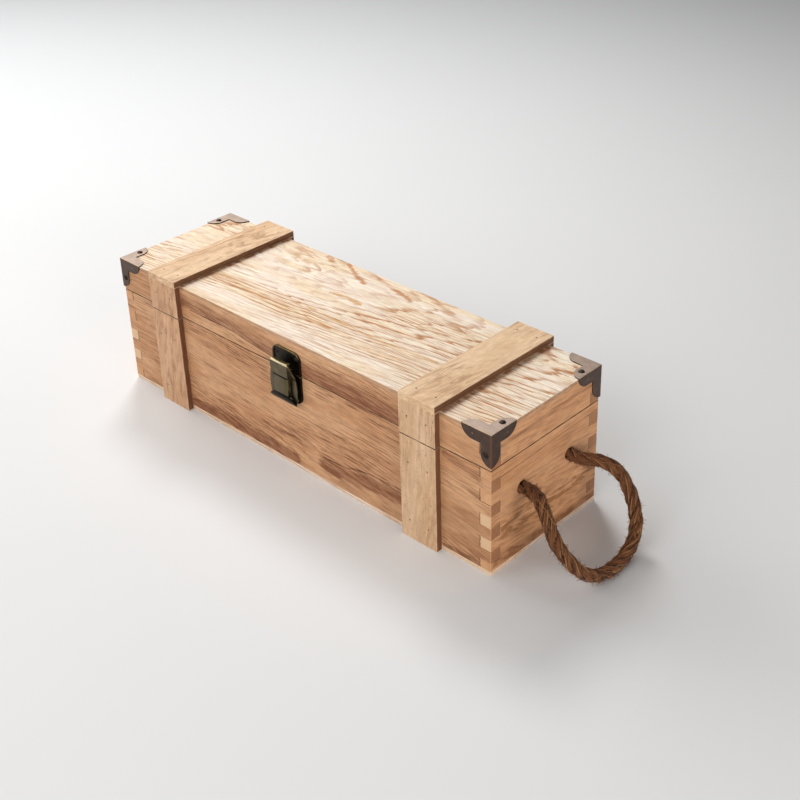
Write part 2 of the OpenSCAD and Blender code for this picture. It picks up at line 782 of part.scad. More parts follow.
hinge_lid_leaf(-1);  // hinge_lid_leaf_left
hinge_lid_leaf(1);  // hinge_lid_leaf_right
hinge_pin(-1);  // hinge_pin_left
hinge_pin(1);  // hinge_pin_right
hinge_box_screws();
hinge_lid_screws();
latch_base_plate();
latch_lever();
latch_loop();
latch_lever_rivets();
latch_loop_rivets();
latch_base_nails();
latch_keeper();
latch_keeper_nails();
rope_handle();
rope_ends();
rope_knots();
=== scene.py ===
# %% [markdown]
# # A crate-style wine box, dressed for the camera
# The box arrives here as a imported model: every board, cap, screw and hinge leaf is a node of its
# own, at its real size and place. This lesson gives each of them its looks. A board gets soft
# edges and a grain that runs the way the tree grew, the metal gets its dark bronze skin, and the
# rope is laid from three strands. Nothing here moves or resizes what the frame holds.

import json
import math
import random

import bmesh
import bpy
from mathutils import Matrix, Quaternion, Vector, noise
from mathutils.kdtree import KDTree

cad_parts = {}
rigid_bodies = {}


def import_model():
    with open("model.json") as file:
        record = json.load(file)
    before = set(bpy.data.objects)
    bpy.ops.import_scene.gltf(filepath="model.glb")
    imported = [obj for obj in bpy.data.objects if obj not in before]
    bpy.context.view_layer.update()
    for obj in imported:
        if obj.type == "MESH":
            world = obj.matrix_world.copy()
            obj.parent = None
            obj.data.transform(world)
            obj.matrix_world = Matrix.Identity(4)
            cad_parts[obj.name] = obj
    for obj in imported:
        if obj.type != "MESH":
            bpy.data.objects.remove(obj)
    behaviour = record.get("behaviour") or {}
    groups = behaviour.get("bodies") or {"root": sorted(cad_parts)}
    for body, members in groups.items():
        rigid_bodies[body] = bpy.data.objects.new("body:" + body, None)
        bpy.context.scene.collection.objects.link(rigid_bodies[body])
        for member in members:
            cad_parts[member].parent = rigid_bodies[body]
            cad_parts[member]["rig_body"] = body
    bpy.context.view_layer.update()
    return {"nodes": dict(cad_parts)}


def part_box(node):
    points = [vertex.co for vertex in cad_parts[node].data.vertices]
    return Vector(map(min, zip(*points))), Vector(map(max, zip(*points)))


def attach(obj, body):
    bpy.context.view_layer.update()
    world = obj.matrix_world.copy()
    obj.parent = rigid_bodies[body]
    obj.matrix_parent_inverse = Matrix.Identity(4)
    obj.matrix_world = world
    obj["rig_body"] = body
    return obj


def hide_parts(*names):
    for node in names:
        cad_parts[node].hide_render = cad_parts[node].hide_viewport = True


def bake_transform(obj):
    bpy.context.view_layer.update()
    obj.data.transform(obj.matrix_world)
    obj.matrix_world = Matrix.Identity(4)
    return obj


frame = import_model()
mm = 0.001
scene = bpy.context.scene
print("nodes:", len(frame["nodes"]))

# %% [markdown]
# ## The camera
# A long lens stands a metre away, over the front right corner, and looks down at the lid. The
# lens is shifted down a little, so the camera itself can be held straighter, which keeps the
# upright edges close to upright. A roll of two degrees levels the long edges.

# %% Camera
camera_place = Vector((0.5880, -0.5357, 0.5242))
camera_aim = Vector((-0.0463, 0.1057, 0.0500))
camera_roll = math.radians(-1.943)
lens, sensor_width = 59.13, 36                # millimetres
lens_shift = -0.125                           # a share of the picture's width
box_middle = Vector((0, 0, 0.05))

camera = bpy.data.objects.new("camera", bpy.data.cameras.new("camera"))
camera.data.lens = lens
camera.data.sensor_width = sensor_width
camera.data.shift_y = lens_shift
camera.location = camera_place
camera.rotation_mode = "QUATERNION"
look = (camera_aim - camera_place).to_track_quat("-Z", "Y")
camera.rotation_quaternion = look @ Quaternion((0, 0, 1), camera_roll)
scene.collection.objects.link(camera)
scene.camera = camera
print("camera to box:", round((camera_place - box_middle).length, 3), "m")

# %% [markdown]
# ## The rope's route
# The handle is one length of rope. It starts at a stopper knot inside the end panel, comes out of
# its hole, bows outwards, falls to the table and climbs back to the other hole. Half of the route
# is written down as points, and the other half mirrors it. A rope has no corners, so a smooth
# curve is drawn through the points before anything is laid along it.

# %% Route of the rope
box_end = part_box("right_end_panel")[1].x      # outer face of the end panel
wall = 9 * mm
rope_d = 8 * mm
rope_span = 47 * mm                           # between the two holes
rope_z = 51.5 * mm                            # height of the holes
rope_drop = 47 * mm                           # from the holes to the lowest point of the route
rope_step = 0.6 * mm                          # between two points of a finished line

# out of the end panel, away from the other hole, up from the hole, in millimetres
rope_half = [
    (-9, 0, 0), (0, 0, 0), (4.5, 0, 0),
    (9, 0.5, 0), (15, 3, 0.5), (21, 7, -0.5), (27, 10.5, -4), (32, 12.5, -9.5),
    (36.5, 13, -16), (41, 12, -22.5), (45, 9.5, -29), (48.5, 5.5, -35),
    (51, 0, -40), (52.5, -7, -44), (53.5, -15, -46.5),
]


def rope_point(out, away, up, side):
    return Vector((box_end + out * mm, side * (rope_span / 2 + away * mm), rope_z + up * mm))


near_half = [rope_point(*p, -1) for p in rope_half]
lowest = Vector((near_half[-1].x, 0, rope_z - rope_drop))
rope_points = near_half + [lowest] + [Vector((p.x, -p.y, p.z)) for p in reversed(near_half)]


def smooth_line(points, steps):
    """A curve through all the points, with that many steps between each two."""
    line = []
    for i in range(len(points) - 1):
        before = points[max(i - 1, 0)]
        here, there = points[i], points[i + 1]
        after = points[min(i + 2, len(points) - 1)]
        for k in range(steps):
            t = k / steps
            line.append(0.5 * (2 * here + (there - before) * t
                               + (2 * before - 5 * here + 4 * there - after) * t ** 2
                               + (3 * here - before - 3 * there + after) * t ** 3))
    return line + [points[-1]]


def line_length(line):
    return sum((b - a).length for a, b in zip(line, line[1:]))


def evenly(line, step):
    """The same line with its points a fixed step apart."""
    count = max(2, round(line_length(line) / step))
    spacing = line_length(line) / count
    out, walked = [line[0]], 0.0
    for a, b in zip(line, line[1:]):
        stretch = (b - a).length
        while walked + stretch >= spacing * len(out) - 1e-12 and len(out) < count:
            out.append(a.lerp(b, (spacing * len(out) - walked) / stretch))
        walked += stretch
    return out + [line[-1]]


rope_line = evenly(smooth_line(rope_points, 12), rope_step)

# %% [markdown]
# ## A ribbon rolled into a tube
# A strand is a long tube that follows a line. Instead of listing its faces, a flat grid is made by
# one operator and each of its points is moved: its length becomes the way along the line and its
# width the way round it. The grid brings its own UV map, which the rope's finish reads later, so
# the fibres run along the strand wherever it turns. A frame that turns as little as possible is
# carried along the line, so that nothing twists by accident.

# %% Frames along a line, and a rolled tube
def frames_along(line):
    """For each point of the line: its place, its heading, and two directions across it."""
    heading = (line[1] - line[0]).normalized()
    across = heading.orthogonal().normalized()
    frames = []
    for i, point in enumerate(line):
        ahead = (line[min(i + 1, len(line) - 1)] - line[max(i - 1, 0)]).normalized()
        across = (heading.rotation_difference(ahead) @ across).normalized()
        heading = ahead
        frames.append((point, heading, across, heading.cross(across)))
    return frames


def roll_tube(bm, line, radius, sides, shade=0.5):
    """A closed tube along the line; radius(i, angle) is its radius at point i and that angle."""
    bm.loops.layers.uv.verify()                # the map that the grid fills
    tone = bm.verts.layers.float.get("fibre_tone") or bm.verts.layers.float.new("fibre_tone")
    rings = len(line) - 1
    made = bmesh.ops.create_grid(bm, x_segments=rings, y_segments=sides, size=0.5, calc_uvs=True)
    frames = frames_along(line)
    edges_of_grid = {0: [], rings: []}
    for vert in made["verts"]:
        i = round((vert.co.x + 0.5) * rings)
        angle = 2 * math.pi * (vert.co.y + 0.5)
        point, heading, across, up = frames[i]
        out = across * math.cos(angle) + up * math.sin(angle)
        vert.co = point + out * radius(i, angle)
        vert[tone] = shade
        if i in edges_of_grid:
            edges_of_grid[i].append(vert)
    bmesh.ops.remove_doubles(bm, verts=made["verts"], dist=1e-7)
    for end in edges_of_grid.values():
        rim = [v for v in end if v.is_valid]
        bmesh.ops.contextual_create(bm, geom=list({e for v in rim for e in v.link_edges
                                                   if e.is_boundary}))


print("tube helpers are ready")

# %% [markdown]
# ## Laying the rope
# Three strands wind round the rope's centre line like the threads of a screw, each a little lumpy
# as hand-spun jute is. Loose fibres lie along the strands, and strays cross from one strand to
# the next. Each has a lightness of its own, which the finish reads. A hair is a very thin tube
# that leaves a strand, bends, and ends within a few millimetres. They all share one mesh.

# %% Strands, fibres and hairs
jute = random.Random(11)


def lay_strands(bm, line, strand_r, offset, pitch, sides=12):
    """Three lumpy strands, wound round a line of evenly spaced points."""
    frames = frames_along(line)
    step = line_length(line) / (len(line) - 1)
    strands = []
    for k in range(3):
        strand = []
        for i, (point, heading, across, up) in enumerate(frames):
            slack = noise.noise(Vector((i * step * 55, 3.1 * k, 0)))
            turn = 2 * math.pi * (i * step / pitch + k / 3) + 0.45 * slack
            outwards = across * math.cos(turn) + up * math.sin(turn)
            strand.append(point + offset * (1 + 0.06 * slack) * outwards)

        def lumpy(i, angle, k=k):
            broad = Vector((i * step * 120, math.cos(angle) + 7 * k, math.sin(angle)))
            seed = Vector((i * step * 420, math.cos(angle) * 3.5 + 7 * k, math.sin(angle) * 3.5))
            return strand_r * (1 + 0.10 * noise.noise(broad) + 0.16 * noise.noise(seed))

        roll_tube(bm, strand, lumpy, sides)
        strands.append(strand)
    return strands


def lay_fibre(bm, strand, strand_r, start, count, angle, drift, lift, thick, shade):
    """A loose fibre that lies along a strand, a hair's breadth above it."""
    frames = frames_along(strand[start:start + count + 1])
    line = []
    for i, (point, heading, across, up) in enumerate(frames[::3]):
        share = i / max(1, len(frames[::3]) - 1)
        turn = angle + drift * share
        raised = strand_r + lift * math.sin(math.pi * share) + 0.02 * mm
        line.append(point + raised * (across * math.cos(turn) + up * math.sin(turn)))
    roll_tube(bm, line, lambda i, a: thick, 4, shade)


def grow_hair(bm, root, outward, along, length, thick):
    """One hair: a thin tapering tube that bends away from its strand."""
    bend = Vector((jute.uniform(-1, 1), jute.uniform(-1, 1), jute.uniform(-1, 1)))
    hair, place = [root], root.copy()
    way = (outward * jute.uniform(0.5, 1.0) + along * jute.uniform(-1.2, 1.2)).normalized()
    for _ in range(4):
        way = (way + 0.35 * bend).normalized()
        place = place + way * length / 4
        hair.append(place.copy())
    roll_tube(bm, hair, lambda i, a: thick * (1 - 0.17 * i), 3, jute.uniform(0.25, 0.85))


def finish_mesh(bm, name, material, body):
    """Turns a bmesh into an object that rides on a body."""
    bmesh.ops.recalc_face_normals(bm, faces=bm.faces)
    mesh = bpy.data.meshes.new(name)
    for face in bm.faces:
        face.smooth = True
    bm.to_mesh(mesh)
    bm.free()
    piece = bpy.data.objects.new(name, mesh)
    piece.data.materials.append(material)
    scene.collection.objects.link(piece)
    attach(piece, body)
    return piece


print("strand, fibre and hair helpers are ready")

# %% [markdown]
# ## Growing the rope in batches
# Adding to one big bmesh gets slower as it fills, so the fibres, strays and hairs are made in
# batches, each in a small bmesh that then joins the rope. Some hairs of every batch grow close
# to the holes, where the rope is rubbed most.

# %% Three-strand rope
strand_r, strand_offset, rope_pitch = 1.95 * mm, 2.05 * mm, 27 * mm
batches, fibres, strays, hairs = 34, 20, 6, 60    # the last three are made in every batch
hairs_by_holes, points_by_holes = 12, 26
rope_mesh = bmesh.new()
strands = lay_strands(rope_mesh, rope_line, strand_r, strand_offset, rope_pitch)
rope_frames = frames_along(rope_line)
outside = [f for f in rope_frames if f[0].x > box_end + 1 * mm]
for batch in range(batches):
    tuft = bmesh.new()
    for n in range(fibres):
        strand, count = jute.choice(strands), jute.randrange(18, 48)
        start = jute.randrange(18, len(strand) - count - 20)
        lay_fibre(tuft, strand, strand_r, start, count, jute.uniform(0, 2 * math.pi),
                  jute.uniform(-1.4, 1.4), jute.choice((0.1, 0.2, 0.5)) * mm,
                  jute.uniform(0.12, 0.26) * mm, jute.random())
    for n in range(strays):
        count = jute.randrange(12, 34)
        start = jute.randrange(3, len(rope_line) - count - 4)
        lay_fibre(tuft, rope_line, 3.75 * mm, start, count, jute.uniform(0, 2 * math.pi),
                  jute.uniform(-2.6, 2.6), jute.uniform(0.0, 0.5) * mm,
                  jute.uniform(0.12, 0.22) * mm, jute.random())
    by_holes = outside[:points_by_holes] + outside[-points_by_holes:]
    for n in range(hairs):
        spots = by_holes if n < hairs_by_holes else outside
        point, heading, across, up = jute.choice(spots)
        angle = jute.uniform(0, 2 * math.pi)
        outward = across * math.cos(angle) + up * math.sin(angle)
        reach = min(jute.expovariate(1 / 1.7) + 0.7, 3.7) * mm
        root = point + outward * rope_d * 0.40
        if root.z + outward.z * reach > 0.6 * mm:
            grow_hair(tuft, root, outward, heading, reach, jute.uniform(0.15, 0.24) * mm)
    carrier = bpy.data.meshes.new("tuft")
    tuft.to_mesh(carrier)
    tuft.free()
    rope_mesh.from_mesh(carrier)
    bpy.data.meshes.remove(carrier)
print("rope mesh:", len(rope_mesh.verts), "points")

# %% [markdown]
# ## Shorthand for shader nodes
# A finish is a network of small steps. These few helpers keep each step to one line: one adds a
# node and feeds it, one does arithmetic, one mixes colours and one opens a reusable group.

# %% Node helpers
def feed(tree, node, feeds):
    """Gives the inputs of a node their values, or links them to the outputs of other nodes."""
    for key, value in feeds.items():
        if isinstance(value, bpy.types.NodeSocket):
            tree.links.new(value, node.inputs[key])
        else:
            node.inputs[key].default_value = value
    return node

def add(tree, kind, feeds=None, **settings):
    """Adds a shader node, sets its settings, and feeds its inputs."""
    node = tree.nodes.new("ShaderNode" + kind)
    for key, value in settings.items():
        setattr(node, key, value)
    return feed(tree, node, feeds or {})

def calc(tree, operation, a, b=0.0, c=0.0, clamp=False):
    """One step of arithmetic."""
    return add(tree, "Math", {0: a, 1: b, 2: c}, operation=operation, use_clamp=clamp).outputs[0]


def remap(tree, value, low, high, to_low=0.0, to_high=1.0, kind="SMOOTHSTEP"):
    """Stretches low..high to another range, and holds it there outside."""
    feeds = {"Value": value, "From Min": low, "From Max": high, "To Min": to_low, "To Max": to_high}
    return add(tree, "MapRange", feeds, interpolation_type=kind).outputs["Result"]


def mix(tree, factor, a, b, how="MIX"):
    """Mixes two colours."""
    return add(tree, "Mix", {0: factor, 6: a, 7: b}, data_type="RGBA", blend_type=how,
               clamp_factor=True).outputs[2]

def stretched(tree, place, x, y, z):
    """A place in millimetres, divided by the size of a feature along each direction."""
    scale = (1000 / x, 1000 / y, 1000 / z)
    return add(tree, "VectorMath", {0: place, 1: scale}, operation="MULTIPLY").outputs[0]


def grain_noise(tree, place, detail=2.0, roughness=0.5):
    feeds = {"Vector": place, "Scale": 1.0, "Detail": detail, "Roughness": roughness}
    return add(tree, "TexNoise", feeds).outputs[0]


def new_group(name, inputs, outputs):
    """An empty node group with its inputs and outputs named."""
    tree = bpy.data.node_groups.new(name, "ShaderNodeTree")
    for label, kind, value in inputs:
        socket = tree.interface.new_socket(label, in_out="INPUT", socket_type="NodeSocket" + kind)
        if value is not None:
            socket.default_value = value
    for label, kind in outputs:
        tree.interface.new_socket(label, in_out="OUTPUT", socket_type="NodeSocket" + kind)
    return tree, tree.nodes.new("NodeGroupInput").outputs, tree.nodes.new("NodeGroupOutput").inputs


def use(tree, group, feeds):
    """Places a group and feeds it."""
    node = tree.nodes.new("ShaderNodeGroup")
    node.node_tree = group
    return feed(tree, node, feeds).outputs

def srgb(red, green, blue):
    """A colour as a painter names it, 0 to 255, in the linear values that light works with."""
    parts = [v / 255 for v in (red, green, blue)]
    return tuple(v / 12.92 if v <= 0.04045 else ((v + 0.055) / 1.055) ** 2.4 for v in parts) + (1,)


def new_material(name):
    material = bpy.data.materials.new(name)
    material.use_nodes = True
    tree = material.node_tree
    return material, tree, tree.nodes["Principled BSDF"]


def bump(tree, height, distance, strength=1.0):
    feeds = {"Height": height, "Distance": distance, "Strength": strength}
    return add(tree, "Bump", feeds).outputs[0]


def grey(tree, value):
    """A grey of that lightness, to multiply a colour by."""
    return add(tree, "CombineColor", {0: value, 1: value, 2: value}).outputs[0]

def read(tree, name, output="Fac"):
    """Reads an attribute that the piece carries."""
    return add(tree, "Attribute", attribute_name=name).outputs[output]

def place_in_mm(tree):
    """Where a point lies on the box, in millimetres."""
    place = add(tree, "TexCoord").outputs["Object"]
    return add(tree, "VectorMath", {0: place, "Scale": 1000.0}, operation="SCALE").outputs[0]

print("node helpers are ready")

# %% [markdown]
# ## How wood is grown
# Growth rings are cylinders round the pith of the tree. A board cut beside the pith shows them as
# long lines on its sides, as arches on its face and as arcs on its ends, and all three come from
# one distance to the pith. Each board carries its own place in the tree as an attribute, with its
# first direction along the grain, so every board differs and none of the patterns slide off a
# corner. Ring is the crisp dark line that ends each year, broken here and there. Line, Stripe and
# Season are noise, drawn along the grain and across the rings at three widths. Brush is finer and
# runs straight, as a wire brush leaves it. Pores, broad patches and mottling lie on top.

# %% Node groups for wood
def make_grain_group():
    tree, given, out = new_group(
        "grain along the rings",
        [("Place", "Vector", None), ("Pith Across", "Float", 0.0), ("Pith Depth", "Float", 60.0),
         ("Tilt", "Float", 0.03), ("Wander", "Float", 4.0), ("Line Length", "Float", 30.0),
         ("Line Gap", "Float", 0.6), ("Pore Length", "Float", 8.0), ("Ring Gap", "Float", 1.6)],
        [("Line", "Float"), ("Stripe", "Float"), ("Season", "Float"), ("Ring", "Float"),
         ("Brush", "Float"), ("Pore", "Float"), ("Patch", "Float"), ("Mottle", "Float")])
    at = add(tree, "SeparateXYZ", {0: given["Place"]}).outputs
    along, across, deep = (calc(tree, "MULTIPLY", at[k], 1000.0) for k in range(3))
    drift = grain_noise(tree, stretched(tree, given["Place"], 120, 30, 30), 1.5)
    ripple = grain_noise(tree, stretched(tree, given["Place"], 24, 5, 5), 2.0)
    shift = calc(tree, "MULTIPLY", calc(tree, "SUBTRACT", drift, 0.5), given["Wander"])
    ripple = calc(tree, "MULTIPLY", ripple, calc(tree, "MULTIPLY", given["Wander"], 0.55))
    shift = calc(tree, "MULTIPLY_ADD", shift, 4.0, ripple)
    low = calc(tree, "ADD", deep, given["Pith Depth"])
    low = calc(tree, "MULTIPLY_ADD", along, given["Tilt"], low)
    side = calc(tree, "SUBTRACT", across, given["Pith Across"])
    radius = calc(tree, "SQRT", calc(tree, "ADD", calc(tree, "POWER", side, 2.0),
                                     calc(tree, "POWER", low, 2.0)))
    radius = calc(tree, "ADD", radius, shift)

    def streaks(length, gap, detail, roughness=0.55):
        spot = add(tree, "CombineXYZ", {
            0: calc(tree, "DIVIDE", along, length), 1: calc(tree, "DIVIDE", radius, gap),
            2: calc(tree, "DIVIDE", side, calc(tree, "MULTIPLY", gap, 9.0))})
        return grain_noise(tree, spot.outputs[0], detail, roughness)

    tree.links.new(streaks(given["Line Length"], given["Line Gap"], 3.0, 0.6), out["Line"])
    wider = calc(tree, "MULTIPLY", given["Line Gap"], 3.4)
    longer = calc(tree, "MULTIPLY", given["Line Length"], 1.8)
    tree.links.new(streaks(longer, wider, 2.0), out["Stripe"])
    season = streaks(calc(tree, "MULTIPLY", longer, 2.0), calc(tree, "MULTIPLY", wider, 4.0), 2.0)
    tree.links.new(season, out["Season"])
    crooked = grain_noise(tree, stretched(tree, given["Place"], 45, 4.5, 4.5), 2.0)
    years = calc(tree, "DIVIDE", calc(tree, "MULTIPLY_ADD", crooked, 2.4, radius), given["Ring Gap"])
    part = calc(tree, "FRACT", years)
    rise, fall = remap(tree, part, 0.52, 0.88), remap(tree, part, 0.90, 1.0, 1.0, 0.0)
    ring = calc(tree, "MULTIPLY", rise, fall)
    broken = streaks(calc(tree, "MULTIPLY", given["Line Length"], 1.2), given["Ring Gap"], 2.0)
    tree.links.new(calc(tree, "MULTIPLY", ring, remap(tree, broken, 0.34, 0.50)), out["Ring"])
    brush = add(tree, "CombineXYZ", {
        0: calc(tree, "DIVIDE", along, calc(tree, "MULTIPLY", given["Line Length"], 1.3)),
        1: calc(tree, "DIVIDE", calc(tree, "ADD", across, shift), 0.62),
        2: calc(tree, "DIVIDE", deep, 1.5)})
    tree.links.new(grain_noise(tree, brush.outputs[0], 2.0, 0.5), out["Brush"])
    cells = add(tree, "CombineXYZ", {
        0: calc(tree, "DIVIDE", along, given["Pore Length"]),
        1: calc(tree, "DIVIDE", across, 0.9), 2: calc(tree, "DIVIDE", deep, 0.9)})
    cell = add(tree, "TexVoronoi", {"Vector": cells.outputs[0], "Scale": 1.0}, feature="F1").outputs
    chance = add(tree, "SeparateXYZ", {0: cell["Color"]}).outputs
    size = remap(tree, chance[0], 0.35, 1.0, 0.0, 0.36, "LINEAR")
    inside = calc(tree, "SUBTRACT", size, cell["Distance"])
    tree.links.new(remap(tree, inside, -0.02, 0.10), out["Pore"])
    tree.links.new(grain_noise(tree, stretched(tree, given["Place"], 80, 15, 15), 2.0), out["Patch"])
    tree.links.new(grain_noise(tree, stretched(tree, given["Place"], 7, 3, 3), 3.0), out["Mottle"])
    return tree


def make_edge_group():
    tree, given, out = new_group(
        "distance to a board's edge",
        [("From Middle", "Vector", None), ("Half Size", "Vector", None)], [("Distance", "Float")])
    away = add(tree, "VectorMath", {0: given["From Middle"]}, operation="ABSOLUTE").outputs[0]
    gap = add(tree, "VectorMath", {0: given["Half Size"], 1: away}, operation="SUBTRACT").outputs[0]
    gap = add(tree, "SeparateXYZ", {0: gap}).outputs
    most = calc(tree, "MAXIMUM", calc(tree, "MAXIMUM", gap[0], gap[1]), gap[2])
    least = calc(tree, "MINIMUM", calc(tree, "MINIMUM", gap[0], gap[1]), gap[2])
    total = calc(tree, "ADD", calc(tree, "ADD", gap[0], gap[1]), gap[2])
    middle = calc(tree, "SUBTRACT", calc(tree, "SUBTRACT", total, most), least)
    tree.links.new(calc(tree, "MULTIPLY", middle, 1000.0), out["Distance"])
    return tree


grain_group = make_grain_group()
edge_group = make_edge_group()
print("wood groups:", [g.name for g in bpy.data.node_groups])

# %% [markdown]
# ## Marks that belong to one board
# Some marks have a place of their own: the dark bands of late wood that sweep across the front,
# a broad faint darkening over the lower right of the front, the brown flames near the lid's back
# edge, the darker lines in it, and the slits at the roots of the fingers. Two marks on the lid are
# painted shadow, a brown shade beside each top batten. A mark is a short line between two points
# with a soft or crisp rim, and its rim is frayed by noise. A band is a row of such marks, end to
# end, that the strongest of them wins.

# %% Marks
def make_mark_group():
    tree, given, out = new_group(
        "mark between two points",
        [("Place", "Vector", None), ("From", "Vector", None), ("To", "Vector", None),
         ("Half Width", "Float", 3.0), ("Softness", "Float", 0.5), ("Fray", "Float", 1.0)],
        [("Mark", "Float")])

    def vector(operation, a, b):
        return add(tree, "VectorMath", {0: a, 1: b}, operation=operation).outputs

    step = vector("SUBTRACT", given["To"], given["From"])[0]
    here = vector("SUBTRACT", given["Place"], given["From"])[0]
    share = calc(tree, "DIVIDE", vector("DOT_PRODUCT", here, step)["Value"],
                 vector("DOT_PRODUCT", step, step)["Value"], clamp=True)
    nearest = add(tree, "VectorMath", {0: step, "Scale": share}, operation="SCALE").outputs[0]
    far = vector("DISTANCE", here, nearest)["Value"]
    waver = grain_noise(tree, add(tree, "VectorMath", {0: given["Place"], 1: (0.11, 0.42, 0.42)},
                                  operation="MULTIPLY").outputs[0], 3.0, 0.6)
    waver = calc(tree, "SUBTRACT", waver, 0.5)
    frayed = calc(tree, "MULTIPLY", given["Fray"], calc(tree, "MULTIPLY", given["Half Width"], 2.2))
    far = calc(tree, "MULTIPLY_ADD", waver, frayed, far)
    inner = calc(tree, "MULTIPLY", given["Half Width"], calc(tree, "SUBTRACT", 1.0, given["Softness"]))
    outer = calc(tree, "MULTIPLY", given["Half Width"], calc(tree, "ADD", 1.0, given["Softness"]))
    tree.links.new(remap(tree, far, inner, outer, 1.0, 0.0), out["Mark"])
    return tree


mark_group = make_mark_group()


def draw_marks(tree, flat, rows, fray, softness):
    """rows: (points, half width, strength), each a row of points in millimetres."""
    total = None
    for points, half_width, strength in rows:
        for start, end in zip(points, points[1:]):
            mark = use(tree, mark_group, {
                "Place": flat, "From": start + (0,), "To": end + (0,),
                "Half Width": half_width, "Softness": softness, "Fray": fray})[0]
            mark = calc(tree, "MULTIPLY", mark, strength)
            total = mark if total is None else calc(tree, "MAXIMUM", total, mark)
    return total


# on the front: across the box and up, in millimetres
front_bands = [
    ([(-118, 92), (-42, 92.2), (-8, 89)], 4.6, 0.35),
    ([(-118, 90.4), (-61, 90.0), (-45, 89.2), (-28, 87.0), (-10, 85.6)], 3.2, 0.75),
    ([(8, 83), (75, 83.8), (118, 83.6)], 6.0, 0.72),
    ([(8, 80), (118, 80.2)], 2.6, 0.95),
    ([(59, 76.8), (82, 76.4)], 1.1, 0.6),
    ([(-118, 4.5), (-91, 6.8), (-59, 8.2), (4, 7.4)], 4.6, 0.85),
    ([(34, 15), (55, 16), (79, 20.5), (118, 23.4)], 5.8, 0.78),
    ([(144, 73.6), (170, 69)], 2.6, 0.6),
    ([(143, 4.0), (171, 5.0)], 2.2, 0.75),
    ([(144, 30), (156, 34), (170, 36)], 6.0, 0.28),
    # This row is a broad, faint darkening over the lower right of the front.
    ([(60, 14), (172, 20)], 20.0, 0.2),
]
front_lines = [
    ([(-100, 86.9), (-74, 86.8), (-58, 87.1), (-45, 86.2), (-28, 83.8), (-12, 82.4)], 0.45, 0.85),
    ([(34, 21.2), (55, 22.3), (63, 25.2), (79, 27.8), (101, 28.4), (118, 29)], 0.55, 0.75),
    ([(-112, 8.6), (-91, 12), (-74, 13.6), (-40, 13.6), (-16, 12.6)], 0.4, 0.6),
]
# on the end: across the box and up
end_streaks = [([(-46, 31), (-7, 27), (21, 27.5), (50, 26)], 8.5, 0.7)]
end_bands = [([(-46, 8.5), (-19, 5.8), (14, 4.6), (50, 4.0)], 4.6, 0.85)]
end_lines = [([(-51, 69.1), (-30, 69.3), (-14, 69.6), (2, 70.3), (30, 70.8), (51, 71)], 0.3, 0.8),
             ([(-51, 90.5), (-20, 91), (20, 92), (51, 92)], 1.4, 0.4)]
# on the lid: along the box and across it
lid_flames = [
    ([(-64, 51), (-56, 46.5), (-47, 42)], 2.2, 0.75),
    ([(-43.5, 51), (-34, 46), (-25.6, 41), (-12.3, 36)], 1.5, 0.8),
    ([(-21.9, 52), (1.7, 45.6), (30.7, 38.6)], 1.7, 0.8),
    ([(30, 52), (47, 50)], 1.2, 0.7),
    ([(50, 47), (66, 41), (84, 33), (97, 27)], 2.2, 0.45),
    ([(-92, 46), (-74, 41)], 2.4, 0.4),
    ([(-158, 30), (-146, 33)], 2.4, 0.4),
]
lid_ochre = [
    ([(-20, 12.8), (-9.4, 14.3), (6.5, 12.2)], 2.6, 0.75),
    ([(19.5, 6.0), (29.7, 9.0), (39.8, 12.0)], 1.5, 0.55),
    ([(-46, -13.5), (57.5, -15.4), (101, -11.4)], 0.9, 0.7),
    ([(-118, -20), (-60, -24), (0, -25), (60, -27), (112, -25)], 2.6, 0.35),
    ([(-118, 38), (-84, 37), (-52, 33)], 3.0, 0.35),
]
# Painted shadow: a brown shade on the lid along the right side of each top batten, where the batten shades
# the board.
lid_batten_shadows = [([(140.2, -53), (140.2, 53)], 3.6, 0.95), ([(-109.8, -53), (-109.8, 53)], 3.2, 0.9)]
print("marks on the front:", len(front_bands + front_lines), "on the lid:", len(lid_flames + lid_ochre))

# %% [markdown]
# ## Painting on wood
# A wood's colour is built in layers, as a painter glazes: the grain first, then the marks of one
# board, then slits, rubbed edges and the dark line where the lid was sawn off. Each layer is a
# mask and a colour, so one small step lays them all.

# %% Painting on wood
parting = 77.55                                # height of the saw cut between box and lid, in millimetres
pale_fingers_at = 33.0                         # height between the two fingers of paler wood

def scaled(colour, by):
    return [min(255, v * by) for v in colour]

def paint(tree, colour, mask, amount, other):
    """Lays another colour over a colour, where the mask says so."""
    return mix(tree, calc(tree, "MULTIPLY", mask, amount, clamp=True), colour, srgb(*other))

def paint_grain(tree, grain, pale, warm, line, amounts):
    """The colours that follow the tree's growth; amounts: of season, stripe, ring, brush, line."""
    season, stripe, ring, brush, thin = amounts
    light_line = remap(tree, grain["Line"], 0.56, 0.70)
    dark_line = remap(tree, grain["Line"], 0.46, 0.38)
    crowd = remap(tree, grain["Season"], 0.62, 0.36, 0.35, 1.25)
    colour = mix(tree, remap(tree, grain["Patch"], 0.40, 0.60), srgb(*pale), srgb(*warm))
    colour = paint(tree, colour, remap(tree, grain["Season"], 0.50, 0.36), season, warm)
    colour = paint(tree, colour, remap(tree, grain["Stripe"], 0.46, 0.34), stripe, line)
    colour = paint(tree, colour, calc(tree, "MULTIPLY", grain["Ring"], crowd), ring, line)
    brushed = remap(tree, grain["Brush"], 0.43, 0.37)
    colour = paint(tree, colour, calc(tree, "MULTIPLY", brushed, crowd), brush, line)
    colour = paint(tree, colour, calc(tree, "MULTIPLY", dark_line, crowd), thin, line)
    return paint(tree, colour, light_line, 0.45, scaled(pale, 1.07))

